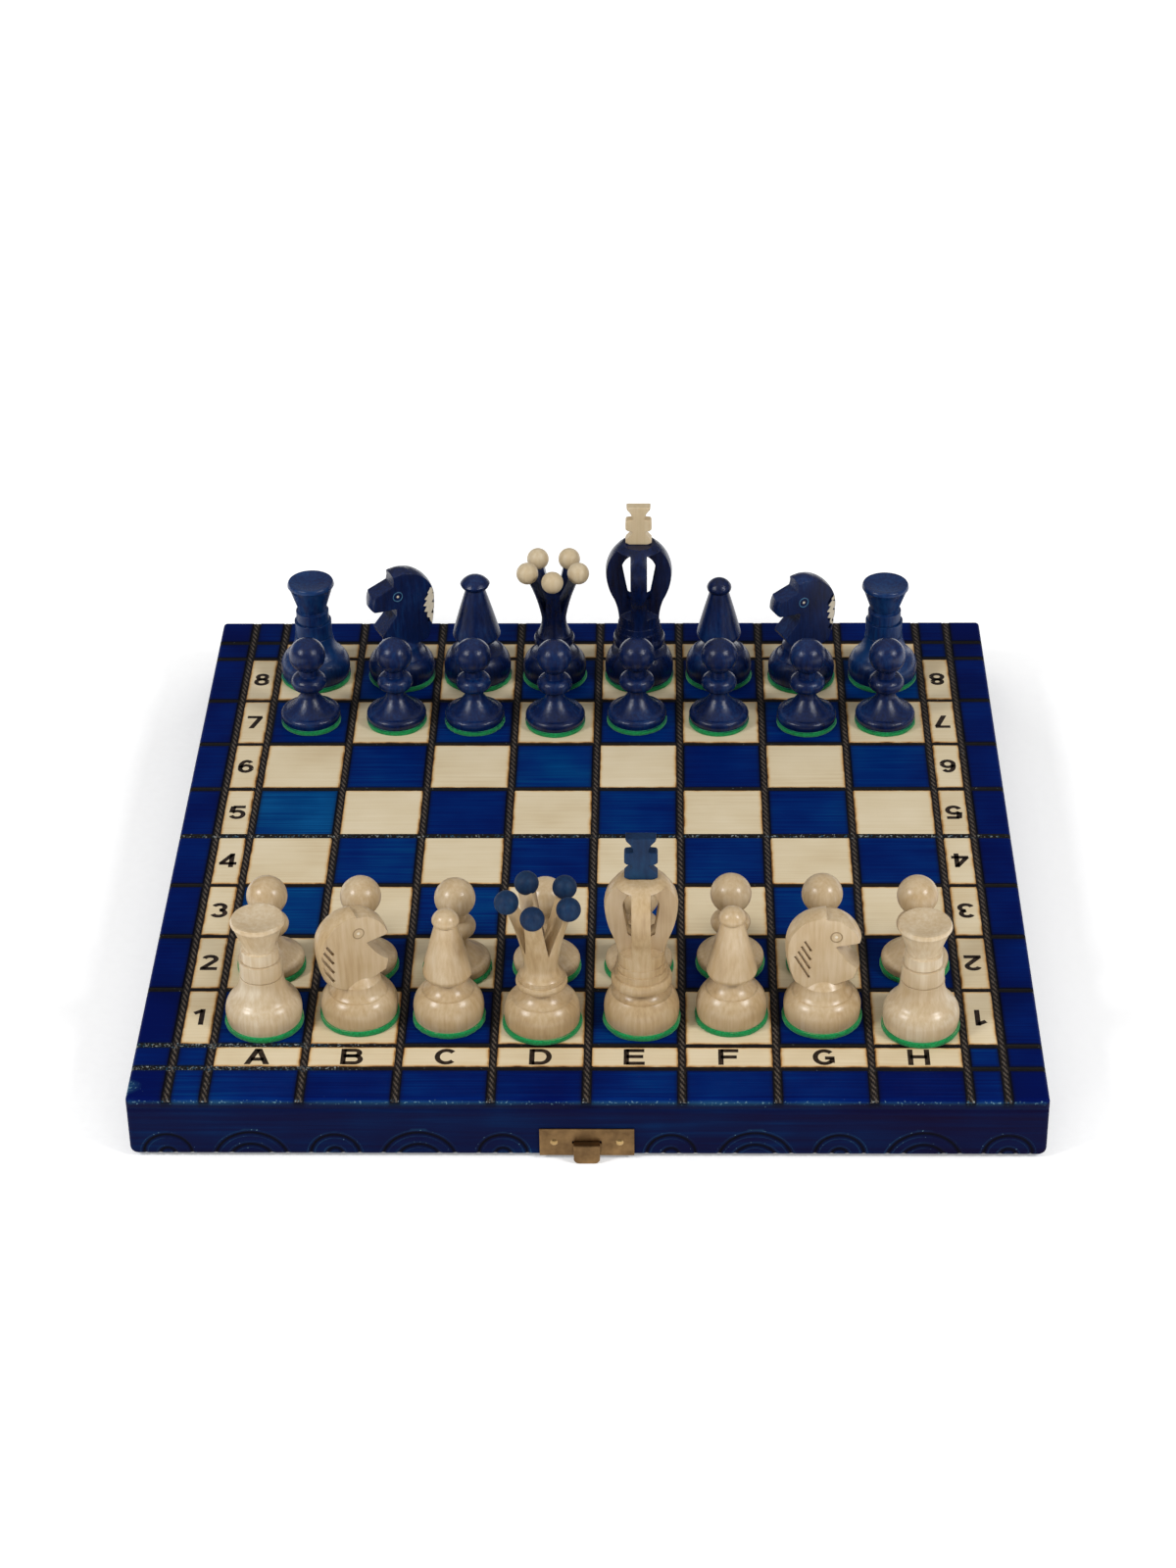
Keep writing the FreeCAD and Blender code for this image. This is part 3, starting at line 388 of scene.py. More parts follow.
def stroke(path):
    """Both sides of one stroke of the pen. A steep straight one is cut off level at its ends."""
    line = []
    for step in path:
        if len(step) == 2:
            line.append(step)
        else:
            x, y, rx, ry, start, end = step
            a = np.radians(np.linspace(start, end, arc_points))
            line += np.stack([x + rx * np.cos(a), y + ry * np.sin(a)], -1).tolist()
    line = np.array(line)
    along = np.gradient(line, axis=0)
    if len(line) == 2 and abs(along[0, 1]) > steep * abs(along[0, 0]):
        across = np.tile((slant_w / 2.0 if along[0, 0] else stroke_w / 2.0, 0.0), (2, 1))
    else:
        across = np.stack([along[:, 1], -along[:, 0]], -1) * stroke_w / 2.0
        across /= np.linalg.norm(along, axis=1)[:, None]
    return line - across, line + across


def stamp(points, faces, letter, x, y, z, turn):
    """Add one letter's strokes, lying flat about its middle."""
    spin = np.array([[cos(turn), sin(turn)], [-sin(turn), cos(turn)]])
    for path in strokes[letter]:
        left, right = stroke(path)
        first = len(points)
        edge = np.concatenate([left, right]) * letter_scale @ spin + (x, y)
        points.extend((px, py, z) for px, py in edge)
        count = len(left)
        for i in range(first, first + count - 1):
            quad = (i, i + 1, i + 1 + count, i + count)
            faces.append(quad if np.cross(edge[quad[1] - first] - edge[i - first],
                                          edge[quad[2] - first] - edge[i - first]) > 0 else quad[::-1])


ink = stamping_ink()
for half, side in halves:
    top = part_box(half + "_panel")[1].z / mm + ink_rise
    points, faces = [], []
    for i, letter in enumerate("ABCDEFGH"):
        stamp(points, faces, letter, (i - 3.5) * square, side * label_middle, top, 0.0 if side < 0 else pi)
    for row in range(4) if side < 0 else range(4, 8):
        for hand in (-1, 1):
            stamp(points, faces, str(row + 1), hand * label_middle, (row - 3.5) * square, top,
                  0.0 if hand < 0 else pi)
    piece = new_piece(half + "_coordinates", points, faces, [ink])
    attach(piece, half + "_half")

# Outer walls
# Pine walls 7 mm thick stand under the panels, glued at the corners and stained navy all round. Half rings
# were burnt into them along the rim with round irons, small and large by turns.
corner_round = 1.5
rim_round = 1.2
# Rings: their spacing, the radii of each kind, how far below the rim they are struck from, and their line,
# then the width and strength of a painted highlight along both sides of the line
ring_pitch = 27.5
rings_per_side = 5
small_rings = (8.0, 2.6)
small_drop = 0.0
large_rings = (12.4, 7.6)
large_drop = 3.5
ring_line = 1.2
ring_depth = 0.35
ring_soft = 1.35
ring_glint_w = 0.5
ring_glint_most = 0.8
# Wear at the upright corners, and the end walls' lower corners worn round
least_corner = 0.75
foot_round = 2.6
foot_blend = 9.0
# The grid: fine as high as the rings reach, then a few plain rows
ring_rows = 10.0
plain_rows = 5
wall_step = 0.45
flat_face = 0.9
wall_fade = 0.05


def wall(name, outline, outward, ring_middles, finish):
    """A wall whose outer face is a fine grid with the rings sunk in it, rounded along the rim.

    The outline runs round the wall's outside in plan, from inner corner to inner corner, and outward holds
    each of its points' direction. The rings are (place along the wall, radii, drop below the rim)."""
    low, high = (np.array(corner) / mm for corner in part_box(name))
    turn = np.linspace(0.0, pi / 2.0, round_steps)
    rise = np.concatenate([rim_round * (1.0 - np.cos(turn)),
                           np.arange(rim_round + wall_step, ring_rows, wall_step),
                           np.linspace(ring_rows, high[2] - low[2], plain_rows)])
    inset = np.concatenate([rim_round * (1.0 - np.sin(turn)), np.zeros(len(rise) - round_steps)])
    along, depth = outline[:, 0], outline[:, 1]
    on_face = (np.abs(outward[:, 1]) > flat_face).astype(float)
    burn = np.zeros((len(rise), len(outline)))
    painted_ring_glint = np.zeros((len(rise), len(outline)))
    for middle, radii, drop in ring_middles:
        for r in radii:
            off = np.abs(np.hypot(along[None] - middle, rise[:, None] + drop) - r)
            burn = np.maximum(burn, np.clip(ring_soft - off / (ring_line / 2.0), 0.0, 1.0) * on_face)
            # A painted highlight along both sides of each burnt line, where light would catch the sunk ring's
            # edges
            rubbed_and_glint = np.clip(1.0 - np.abs(off - ring_line) / ring_glint_w, 0.0, ring_glint_most) * on_face
            painted_ring_glint = np.maximum(painted_ring_glint, rubbed_and_glint)
    push = inset[:, None] + ring_depth * burn
    points = np.stack([along[None] - outward[None, :, 0] * push, depth[None] - outward[None, :, 1] * push,
                       np.repeat(low[2] + rise[:, None], len(along), 1)], -1)
    if outward[0, 0]:
        drawn_in = foot_round - np.sqrt(foot_round ** 2 - np.clip(foot_round - rise, 0.0, None) ** 2)
        end = np.clip((np.abs(along) - np.abs(along).max()) / foot_blend + 1.0, 0.0, 1.0)
        points[..., 0] -= drawn_in[:, None] * np.sign(along) * end
    rows, columns = burn.shape
    index = np.arange(rows * columns).reshape(rows, columns)
    faces = np.stack([index[:-1, :-1], index[:-1, 1:], index[1:, 1:], index[1:, :-1]], -1)
    faces = faces.reshape(-1, 4).tolist()
    faces += [index[0, ::-1].tolist(), index[-1].tolist(),
              index[::-1, 0].tolist() + index[:, -1].tolist()]
    points = points.reshape(-1, 3)
    piece = new_piece(name + "_wood", points, faces, [finish, birch], [0] * (len(faces) - 1) + [1])
    for face in piece.data.polygons[-3:]:
        face.use_smooth = False
    corner_wear = 1.0 - np.maximum(np.abs(outward), least_corner).max(1)
    # Wear along the rim and at the corners, plus the painted highlight beside the rings, which the stain
    # reads as wear
    wear = np.exp(-rise / wear_reach)[:, None] + corner_wear[None] + painted_ring_glint
    mark(piece, "burn", "POINT", burn)
    mark(piece, "wear", "POINT", np.clip(wear, 0.0, 1.0))
    mark(piece, "tint", "POINT", np.tile(-wall_fade * along / np.abs(along).max(), (rows, 1)))
    return piece


def ring_row(start, step, count, small_first):
    """Rings small and large by turns."""
    sizes = [(small_rings, small_drop), (large_rings, large_drop)]
    return [(start + i * step, *sizes[(i + (not small_first)) % 2]) for i in range(count)]


def bent_outline(half_length, thick):
    """An end wall's outside in plan: round both corners, with the depth measured inwards from the face."""
    turn = np.linspace(0.0, pi / 2.0, round_steps)
    face = np.arange(corner_round - half_length + wall_step, half_length - corner_round, wall_step)
    corner = np.stack([half_length - corner_round + corner_round * np.sin(turn),
                       corner_round * (1.0 - np.cos(turn))], -1)
    corner_out = np.stack([np.sin(turn), -np.cos(turn)], -1)
    right = np.concatenate([corner, [[half_length, thick]]])
    right_out = np.concatenate([corner_out, [[1.0, 0.0]]])
    flip = (-1.0, 1.0)
    middle = np.stack([face, np.zeros(len(face))], -1)
    outline = np.concatenate([right[::-1] * flip, middle, right])
    outward = np.concatenate([right_out[::-1] * flip, np.tile((0.0, -1.0), (len(face), 1)), right_out])
    return outline, outward


def straight_outline(start, end, thick):
    """A side wall's outside in plan, butted square at both ends."""
    face = np.linspace(start, end, int((end - start) / wall_step))
    middle = np.stack([face, np.zeros(len(face))], -1)
    outline = np.concatenate([[[start, thick]], middle, [[end, thick]]])
    outward = np.concatenate([[[0.0, 0.0]], np.tile((0.0, -1.0), (len(face), 1)), [[0.0, 0.0]]])
    return outline, outward


for half, side in halves:
    low, high = (np.array(corner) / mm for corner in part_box(half + "_end_wall"))
    rings = [ring for hand in (-1, 1)
             for ring in ring_row(hand * ring_pitch, hand * ring_pitch, rings_per_side, True)]
    piece = wall(half + "_end_wall", *bent_outline(high[0], high[1] - low[1]), rings, wall_along_x)
    place = Matrix.Translation((0.0, max(abs(low[1]), abs(high[1])) * side * mm, 0.0))
    piece.data.transform(place @ (Matrix.Rotation(pi, 4, "Z") if side > 0 else Matrix.Identity(4)))
    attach(piece, half + "_half")
    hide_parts(half + "_end_wall")
    for hand, name in ((-1, half + "_left_wall"), (1, half + "_right_wall")):
        low, high = (np.array(corner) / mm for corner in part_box(name))
        long = high[1] - low[1]
        rings = ring_row(-2.0 * ring_pitch, ring_pitch, rings_per_side, False)
        piece = wall(name, *straight_outline(-long / 2.0, long / 2.0, high[0] - low[0]), rings, wall_along_y)
        face_x = hand * max(abs(low[0]), abs(high[0]))
        place = Matrix.Translation(Vector((face_x, (low[1] + high[1]) / 2.0, 0.0)) * mm)
        piece.data.transform(place @ Matrix.Rotation(hand * pi / 2.0, 4, "Z"))
        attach(piece, half + "_half")
        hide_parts(name)

# Spine walls
# The two walls that meet at the fold are the same stained pine, glued under the panels' inner edges
# and cut out below for the hinges.
for half in ("front", "back"):
    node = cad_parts[half + "_spine_wall"]
    node.data.materials.clear()
    node.data.materials.append(wall_along_x)

# Hinges
# Two small hinges pressed from brass sheet are let into the rims at the fold. Each turns on a steel pin and
# is held by four brass nails. The strike on the back wall is nailed on in the same way.


def handled_metal(name, dull, bright, rough):
    """Metal dulled by handling, brighter in streaks where it was rubbed."""
    material, tree, shader, place = new_material(name)
    cloud = add(tree, "TexNoise", {"Vector": place, "Scale": 1 / (6 * mm), "Detail": 4.0, "Roughness": 0.6})
    colour = add(tree, "ValToRGB", {"Fac": cloud.outputs["Fac"]}, ramp=[(0.35, dull), (0.72, bright)])
    scratch = add(tree, "Mapping", {"Vector": place,
                                    "Scale": (1 / (5 * mm), 1 / (0.15 * mm), 1 / (0.15 * mm))})
    scratch = add(tree, "TexNoise", {"Vector": scratch.outputs[0], "Scale": 1.0, "Detail": 3.0})
    gloss = add(tree, "MapRange", {0: scratch.outputs["Fac"], 1: 0.3, 2: 0.7,
                                   3: rough - 0.08, 4: rough + 0.1})
    bump = add(tree, "Bump", {"Height": scratch.outputs["Fac"], "Strength": 0.1, "Distance": 0.02 * mm})
    tree.links.new(colour.outputs[0], shader.inputs["Base Color"])
    tree.links.new(gloss.outputs[0], shader.inputs["Roughness"])
    tree.links.new(bump.outputs[0], shader.inputs["Normal"])
    shader.inputs["Metallic"].default_value = 1.0
    return material


plate_brass = handled_metal("aged_brass_sheet", "#695136", "#91734d", 0.42)
nail_brass = handled_metal("rubbed_brass_nail", "#9a7a4c", "#cfb07a", 0.25)
pin_steel = handled_metal("zinc_plated_steel", "#8a8a88", "#b4b4b2", 0.3)
for name in ("hinge_front_leaves", "hinge_back_leaves", "strike_plate"):
    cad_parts[name].data.materials.clear()
    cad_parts[name].data.materials.append(plate_brass)
for name in ("hinge_front_nails", "hinge_back_nails", "latch_nails", "strike_nails"):
    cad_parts[name].data.materials.clear()
    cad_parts[name].data.materials.append(nail_brass)
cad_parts["hinge_pins"].data.materials.clear()
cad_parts["hinge_pins"].data.materials.append(pin_steel)

# Latch
# A pressed brass plate is nailed to the front wall, and a sprung brass tongue bends out of its slot and hangs
# below the rim, to catch the strike when the box is shut.
plate_voxel = 0.12
plate_passes = 3


def softened(node, voxel, passes):
    """A CAD node's own shape as one mesh with its edges worn soft, about the middle of its foot."""
    low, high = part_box(node)
    foot = Vector(((low.x + high.x) / 2.0, (low.y + high.y) / 2.0, low.z))
    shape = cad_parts[node].data.copy()
    shape.transform(Matrix.Translation(-foot))
    holder = bpy.data.objects.new("holder", shape)
    bpy.context.scene.collection.objects.link(holder)
    remesh = holder.modifiers.new("remesh", "REMESH")
    remesh.mode = "VOXEL"
    remesh.voxel_size = voxel * mm
    smooth = holder.modifiers.new("smooth", "SMOOTH")
    smooth.iterations = passes
    soft = bpy.data.meshes.new_from_object(holder.evaluated_get(bpy.context.evaluated_depsgraph_get()))
    bpy.data.objects.remove(holder)
    bpy.data.meshes.remove(shape)
    soft.materials.clear()
    soft.shade_smooth()
    return soft, foot


for name, body in (("latch_plate", "front_half"), ("latch_tongue", "catch")):
    mesh, foot = softened(name, plate_voxel, plate_passes)
    mesh.materials.append(plate_brass)
    piece = bpy.data.objects.new(name + "_brass", mesh)
    bpy.context.scene.collection.objects.link(piece)
    piece.location = foot
    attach(piece, body)
    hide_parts(name)

# Men
# Each man is turned from one stick of hornbeam and sanded, one side lacquered bare and the other stained
# navy. The knights' heads are sawn and carved, and a disc of green felt is glued under each man, its edge cut
# by hand and a little ragged.
felt_t = 1.8
felt_out = {"white": 0.3, "blue": 0.0}
felt_rag = 0.18
felt_points = 180
felt_waves = range(2, 40, 3)
# The felt's edge from below: share of its radius, and height
felt_profile = ((0.985, 0.0), (1.0, 0.3), (1.004, 1.0), (0.995, 1.6), (0.975, felt_t + 0.05))
felt_share = 0.9
seat_t = 0.01
weld = 0.001
crisp_angle = 32.0
soft_edge = 0.3
# A man's materials after its own wood
felt_slot = 1
sawn_slot = 2
ring_slot = 3
# How much paler than the rest the sticks are that each kind was turned from
stick_tones = {"rook": 0.09, "knight": -0.02, "bishop": -0.03, "queen": -0.1, "king": -0.12, "pawn": -0.02}
# A knight's turn on its square, then how far before its middle and how high its eye sits, and its mane's top
knight_heads = {"white_knight_b": (25.0, -0.4, 35.6, 0.0), "white_knight_g": (0.0, 3.9, 35.2, 0.0),
                "blue_knight_b": (206.0, 1.9, 37.8, 38.6), "blue_knight_g": (206.0, 1.7, 35.9, 36.6)}
# The ringed eyes, and the combs: their height, teeth, shape and how far they stand off the mane
eye_ring_r = 1.85
eye_ring_half = 0.2
eye_ring_steps = 6
eye_dot_r = 0.5
eye_dot_h = 0.25
eye_dot_edge = 0.025
eye_points = 28
comb_h = 15.3
comb_teeth = 6
comb_levels = 72
comb_in = 11.5
comb_bow = 3.3
comb_rise = 0.06
comb_back_in = 0.25
comb_probe = 0.3
least_comb = 0.02
tooth = 1.5
tooth_lean = 0.8
mane_x = -5.0
well_clear = 40.0


def turned_wood(name, stops, grain_size, rough, gloss, peel_size, peel_strength):
    """Turned wood, its grain upright and its edges sanded soft, under lacquer that dried a little uneven."""
    material, tree, shader, place = new_material(name)
    about = add(tree, "ObjectInfo", {})
    moved = add(tree, "VectorMath", {0: about.outputs["Location"], 1: (7.0, 5.0, 3.0), 2: place},
                operation="MULTIPLY_ADD")
    along = add(tree, "Mapping", {"Vector": moved.outputs[0],
                                  "Scale": [1 / (size * mm) for size in grain_size]})
    grain = add(tree, "TexNoise", {"Vector": along.outputs[0], "Scale": 1.0, "Detail": 4.0, "Roughness": 0.6})
    cloud = add(tree, "TexNoise", {"Vector": moved.outputs[0], "Scale": 1 / (14 * mm), "Detail": 2.0})
    mixed = add(tree, "Mix", {0: 0.5, 2: grain.outputs["Fac"], 3: cloud.outputs["Fac"]})
    tint = add(tree, "Attribute", {}, attribute_name="tint")
    mixed = add(tree, "Math", {0: mixed.outputs[0], 1: tint.outputs["Fac"]}, operation="ADD")
    wood = add(tree, "ValToRGB", {"Fac": mixed.outputs[0]}, ramp=stops)
    peel = add(tree, "TexNoise", {"Vector": moved.outputs[0], "Scale": 1 / (peel_size * mm), "Detail": 3.0})
    edge = add(tree, "Bevel", {"Radius": soft_edge * mm})
    bump = add(tree, "Bump", {"Height": peel.outputs["Fac"], "Strength": peel_strength, "Distance": 0.12 * mm,
                              "Normal": edge.outputs[0]})
    tree.links.new(wood.outputs[0], shader.inputs["Base Color"])
    tree.links.new(bump.outputs[0], shader.inputs["Normal"])
    shader.inputs["Roughness"].default_value = rough
    shader.inputs["Specular IOR Level"].default_value = gloss
    return material


def green_felt():
    """Pressed wool felt, fuzzy at the cut edge."""
    material, tree, shader, place = new_material("green_felt")
    fuzz = add(tree, "TexNoise", {"Vector": place, "Scale": 1 / (0.45 * mm), "Detail": 4.0})
    wool = add(tree, "ValToRGB", {"Fac": fuzz.outputs["Fac"]}, ramp=[(0.3, "#056b35"), (0.7, "#18a85c")])
    bump = add(tree, "Bump", {"Height": fuzz.outputs["Fac"], "Strength": 0.6, "Distance": 0.3 * mm})
    tree.links.new(wool.outputs[0], shader.inputs["Base Color"])
    tree.links.new(bump.outputs[0], shader.inputs["Normal"])
    shader.inputs["Roughness"].default_value = 0.95
    shader.inputs["Sheen Weight"].default_value = 0.3
    shader.inputs["Specular IOR Level"].default_value = 0.1
    return material


def felt_disc(book, r, seed):
    """Add a felt disc with a wavering edge to a mesh."""
    wave = np.random.default_rng(seed)
    angle = np.linspace(0.0, 2.0 * pi, felt_points, endpoint=False)
    ragged = sum(wave.normal(0.0, 1.0 / k) * np.cos(k * angle + wave.uniform(0.0, 2.0 * pi))
                 for k in felt_waves)
    ragged = r + felt_rag * ragged / np.abs(ragged).max()
    rings = [[book.verts.new((share * ragged[i] * cos(a) * mm, share * ragged[i] * sin(a) * mm, z * mm))
              for i, a in enumerate(angle)] for share, z in felt_profile]
    made = [book.faces.new(rings[0][::-1]), book.faces.new(rings[-1])]
    for lower, upper in zip(rings, rings[1:]):
        made += [book.faces.new((lower[i - 1], lower[i], upper[i], upper[i - 1])) for i in range(felt_points)]
    for face in made:
        face.material_index = felt_slot


def man(node, seed):
    """One man about the middle of its foot: the CAD solid's wood, crisp at its edges, on a felt disc."""
    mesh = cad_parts[node].data.copy()
    points = np.array([v.co for v in mesh.vertices])
    seat = points[points[:, 2] < points[:, 2].min() + seat_t * mm]
    foot = Vector((seat.min(0) + seat.max(0)) / 2.0)
    mesh.transform(Matrix.Translation(-foot))
    mesh.materials.clear()
    book = bmesh.new()
    book.from_mesh(mesh)
    bmesh.ops.remove_doubles(book, verts=book.verts, dist=weld * mm)
    felt_top = felt_share * felt_t * mm
    felt_faces = [face for face in book.faces if min(v.co.z for v in face.verts) < felt_top]
    bmesh.ops.delete(book, geom=felt_faces, context="FACES")
    for face in book.faces:
        face.material_index = 0
        face.smooth = True
    for edge in book.edges:
        edge.smooth = edge.calc_face_angle(0.0) < radians(crisp_angle)
    felt_disc(book, np.ptp(seat, 0)[0] / 2.0 / mm + felt_out[node.split("_")[0]], seed)
    if node in knight_heads:
        carve(book, *knight_heads[node], node.startswith("blue"))
    book.to_mesh(mesh)
    book.free()
    mesh.attributes.remove(mesh.attributes["custom_normal"])
    return mesh, foot


def carve(book, turn, eye_x, eye_z, comb_z, combed):
    """Add the ringed eye on each cheek and, on a blue knight, the bare sawn comb at the back of the mane."""
    tree = BVHTree.FromBMesh(book)
    nose = Vector((cos(radians(turn)), sin(radians(turn)), 0.0))
    round_eye = np.linspace(0.0, 2.0 * pi, eye_points, endpoint=False)
    for side in (-1.0, 1.0):
        out = Vector((-nose.y, nose.x, 0.0)) * side

        def cheek(x, z):
            return tree.ray_cast((nose * x + out * well_clear + Vector((0.0, 0.0, z))) * mm, -out)

        middle, facing = cheek(eye_x, eye_z)[:2]
        upright = facing.to_track_quat("Z", "Y").to_matrix()

        def on_cheek(x, y, rise):
            return book.verts.new(middle + upright @ Vector((x, y, rise)) * mm)

        made = []
        rows = []
        for a in np.linspace(0.0, pi, eye_ring_steps + 1):
            r = eye_ring_r - eye_ring_half * cos(a)
            rows.append([on_cheek(r * cos(b), r * sin(b), eye_ring_half * sin(a)) for b in round_eye])
        for inner, outer in zip(rows, rows[1:]):
            made += [(book.faces.new((inner[i - 1], outer[i - 1], outer[i], inner[i])), ring_slot)
                     for i in range(eye_points)]
        tip = book.verts.new(middle + facing * eye_dot_h * mm)
        ring = [on_cheek(eye_dot_r * cos(b), eye_dot_r * sin(b), eye_dot_edge) for b in round_eye]
        made += [(book.faces.new((ring[i - 1], ring[i], tip)), sawn_slot) for i in range(eye_points)]
        if combed:
            strip = []
            for share in np.linspace(0.0, 1.0, comb_levels + 1):
                face_at, facing = cheek(mane_x, comb_z - comb_h * share)[:2]
                saw = (share * comb_teeth) % 1.0
                saw = saw / tooth_lean if saw < tooth_lean else (1.0 - saw) / (1.0 - tooth_lean)
                inner_x = (comb_bow - tooth * (1.0 - saw)) * sin(pi * share) - comb_in
                level = (face_at - nose * face_at.dot(nose)) + facing * comb_rise * mm
                behind = tree.ray_cast(level - out * comb_probe * mm - nose * well_clear * mm, nose)[0]
                back_x = behind.dot(nose) / mm + comb_back_in
                strip.append([book.verts.new(level + nose * x * mm)
                              for x in (max(inner_x, back_x + least_comb), back_x)])
            for upper, lower in zip(strip, strip[1:]):
                face = book.faces.new((upper[0], upper[1], lower[1], lower[0]))
                face.normal_update()
                if face.normal.dot(out) < 0.0:
                    face.normal_flip()
                made.append((face, sawn_slot))
        for face, material in made:
            face.material_index = material
            face.smooth = material == ring_slot


bare = turned_wood("bare_hornbeam_satin",
                   [(0.2, "#a3855c"), (0.8, "#dccdb3"), (0.4, "#bba078"), (0.6, "#cbb593")],
                   (1.3, 1.3, 26.0), 0.3, 0.5, 0.7, 0.15)
navy = turned_wood("navy_stained_hornbeam", [(0.3, "#030c2c"), (0.72, "#0c3669"), (0.5, "#061c4a")],
                   (1.1, 1.1, 9.0), 0.26, 0.34, 0.4, 0.6)
felt = green_felt()
sawn = turned_wood("sawn_hornbeam", [(0.3, "#d8cbb1"), (0.7, "#ece3d0")], (0.8, 0.8, 6.0), 0.6, 0.2, 0.4, 0.3)
# The white knights' eye ring stands raised on the cheek and is coloured dark brown as painted shade of an
# engraved groove
shaded_eye_ring = turned_wood("painted_shade_ring", [(0.3, "#8a7353"), (0.7, "#a8926e")],
                         (1.0, 1.0, 1.0), 0.5, 0.2, 0.7, 0.2)
pale_ring = turned_wood("rubbed_blue_ring", [(0.3, "#234f74"), (0.7, "#4d86a8")],
                        (1.0, 1.0, 1.0), 0.4, 0.3, 0.7, 0.2)
for colour, finish, ring, slot in (("white", bare, shaded_eye_ring, "white_wood"),
                                   ("blue", navy, pale_ring, "blue_wood")):
    men = sorted(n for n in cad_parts
                 if n.startswith(colour + "_") and not n.endswith(("_balls", "_cross")))
    for number, node in enumerate(men):
        mesh, foot = man(node, number)
        for material in (finish, felt, sawn, ring) if node in knight_heads else (finish, felt):
            mesh.materials.append(material)
        piece = bpy.data.objects.new(node + "_man", mesh)
        bpy.context.scene.collection.objects.link(piece)
        piece.location = foot
        tone = stick_tones[node.split("_")[1]]
        mark(piece, "tint", "POINT", np.full(len(mesh.vertices), tone))
        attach(piece, node + "_man")
        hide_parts(node)

# Crosses and balls
# The kings' crosses are sawn from flat hornbeam and the queens' balls are turned. They are glued on, each in
# the other side's colour. A cross's right side is drawn as parts of half its width and of its height.
cross_side = [(0.7, 0.0), (1.0, 0.05), (1.0, 0.13), (0.5, 0.3), (0.52, 0.34), (0.85, 0.37), (1.0, 0.41),
              (1.0, 0.6), (0.92, 0.64), (0.44, 0.66), (0.46, 0.73), (0.62, 0.84), (0.86, 0.93), (0.93, 1.0)]
cross_edge = 0.25
ball_swell = {"white": 0.2, "blue": 0.34}


def king_cross(name):
    """A flat cross with flared limbs and deep notches, in its CAD piece's box, about its foot's middle."""
    low, high = (np.array(corner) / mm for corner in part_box(name))
    half_w, half_t, tall = (high - low) * (0.5, 0.5, 1.0)
    right = [(x * half_w, z * tall) for x, z in cross_side]
    outline = right + [(-x, z) for x, z in reversed(right)]
    count = len(outline)
    points = [(x, y, z) for y in (-half_t, half_t) for x, z in outline]
    faces = [list(range(count)), list(range(2 * count - 1, count - 1, -1))]
    faces += [(i, i + count, (i + 1) % count + count, (i + 1) % count) for i in range(count)]
    piece = new_piece(name + "_wood", points, faces, [])
    for face in piece.data.polygons:
        face.use_smooth = False
    soft = piece.modifiers.new("soft_edges", "BEVEL")
    soft.width = cross_edge * mm
    soft.segments = 2
    piece.location = Vector(((low + high) / 2.0 * (1.0, 1.0, 0.0) + low * (0.0, 0.0, 1.0)) * mm)
    return piece


matte_blue = turned_wood("matte_blue_stain", [(0.3, "#081d3a"), (0.72, "#153d5f"), (0.5, "#0d2a4b")],
                         (1.1, 1.1, 6.0), 0.55, 0.2, 0.5, 0.4)
pale = turned_wood("pale_hornbeam_satin", [(0.2, "#bfa780"), (0.8, "#e2d5bd"), (0.5, "#d0bc99")],
                   (1.3, 1.3, 26.0), 0.4, 0.4, 0.7, 0.15)
for colour, finish, slot in (("white", matte_blue, "blue_wood"), ("blue", pale, "white_wood")):
    piece = king_cross(colour + "_king_cross")
    piece.data.materials.append(finish)
    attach(piece, colour + "_king_man")
    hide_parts(colour + "_king_cross")
    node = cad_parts[colour + "_queen_balls"]
    node.data.materials.clear()
    node.data.materials.append(finish)
    swell = node.modifiers.new("swell", "DISPLACE")
    swell.mid_level = 0.0
    swell.strength = ball_swell[colour] * mm

# Studio
# A white paper sweep that glows more away from the board, two round softboxes to the left and right of the
# camera, a broad one overhead and pale walls. The camera is where the photograph's was. Lengths here are in
# metres, apart from the camera's place and its lens, which are in mm.
floor_size = 6.0
lamp_turn = 56.0
lamp_rise = 38.0
lamp_far = 1.35
lamp_size = 0.3
lamp_watts = 7.0
sky_low = 0.25
sky_top = 0.6
sky_from = 0.6
sky_to = 0.9
glow_near = 0.29
glow_far = 1.0
glow_from = 0.2
glow_to = 0.42
camera_place = (25.42, -1044.42, 724.46)
camera_azimuth = radians(-1.5)
camera_dip = radians(32.972)
camera_roll = radians(-0.841)
lens = 106.75

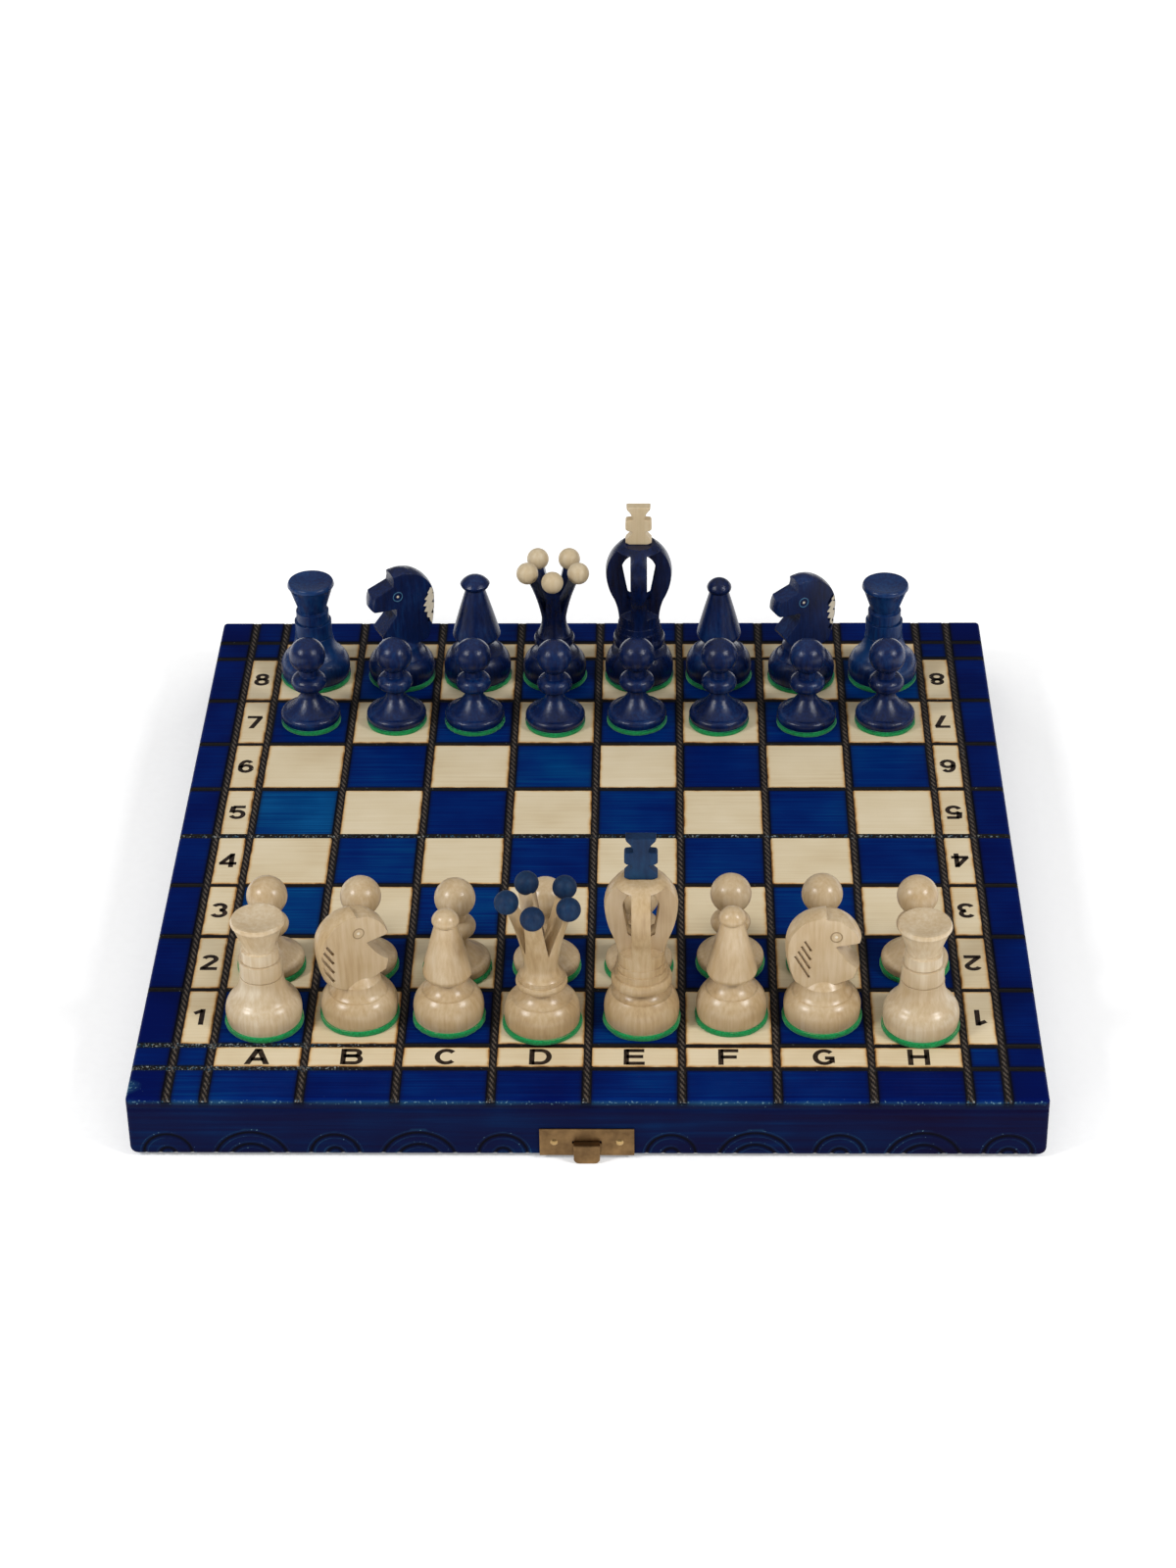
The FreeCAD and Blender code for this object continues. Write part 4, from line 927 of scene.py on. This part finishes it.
floor = bpy.data.meshes.new("white_sweep")
corners = ((-1, -1), (1, -1), (1, 1), (-1, 1))
floor.from_pydata([(x * floor_size, y * floor_size, 0.0) for x, y in corners], [], [(0, 1, 2, 3)])
paper, tree, shader, place = new_material("white_paper")
fibre = add(tree, "TexNoise", {"Vector": place, "Scale": 1 / (3 * mm), "Detail": 2.0})
tone = add(tree, "ValToRGB", {"Fac": fibre.outputs["Fac"]}, ramp=[(0.3, "#f8f8f8"), (0.7, "#fbfbfb")])
tree.links.new(tone.outputs[0], shader.inputs["Base Color"])
tree.links.new(tone.outputs[0], shader.inputs["Emission Color"])
far = add(tree, "VectorMath", {0: place}, operation="LENGTH").outputs["Value"]
glow = add(tree, "MapRange", {0: far, 1: glow_from, 2: glow_to, 3: glow_near, 4: glow_far})
tree.links.new(glow.outputs[0], shader.inputs["Emission Strength"])
shader.inputs["Roughness"].default_value = 0.9
shader.inputs["Specular IOR Level"].default_value = 0.0
floor.materials.append(paper)
floor = bpy.data.objects.new("white_sweep", floor)
bpy.context.scene.collection.objects.link(floor)

for name, turn in (("lamp_left", -lamp_turn), ("lamp_right", lamp_turn)):
    lamp = bpy.data.lights.new(name, "AREA")
    lamp.shape = "DISK"
    lamp.size = lamp_size
    lamp.energy = lamp_watts
    lamp = bpy.data.objects.new(name, lamp)
    bpy.context.scene.collection.objects.link(lamp)
    a = radians(turn)
    e = radians(lamp_rise)
    toward = Vector((sin(a) * cos(e), -cos(a) * cos(e), sin(e)))
    lamp.location = toward * lamp_far
    lamp.rotation_euler = toward.to_track_quat("Z", "Y").to_euler()

world = bpy.data.worlds.new("white_room")
world.use_nodes = True
tree = world.node_tree
toward = add(tree, "SeparateXYZ", {0: add(tree, "TexCoord", {}).outputs["Generated"]})
light = add(tree, "MapRange", {0: toward.outputs["Z"], 1: sky_from, 2: sky_to, 3: sky_low, 4: sky_top})
tree.links.new(light.outputs[0], tree.nodes["Background"].inputs["Strength"])
tree.nodes["Background"].inputs["Color"].default_value = (1.0, 1.0, 1.0, 1.0)
bpy.context.scene.world = world
bpy.context.scene.view_settings.view_transform = "Standard"

camera = bpy.data.cameras.new("camera")
camera.sensor_fit = "HORIZONTAL"
camera.lens = lens
camera = bpy.data.objects.new("camera", camera)
bpy.context.scene.collection.objects.link(camera)
forward = Vector((sin(camera_azimuth) * cos(camera_dip), cos(camera_azimuth) * cos(camera_dip),
                  -sin(camera_dip)))
right = forward.cross(Vector((0.0, 0.0, 1.0))).normalized()
level = Matrix((right, right.cross(forward), -forward)).transposed().to_4x4()
camera.matrix_world = (Matrix.Translation(Vector(camera_place) * mm) @ level
                       @ Matrix.Rotation(camera_roll, 4, "Z"))
bpy.context.scene.camera = camera
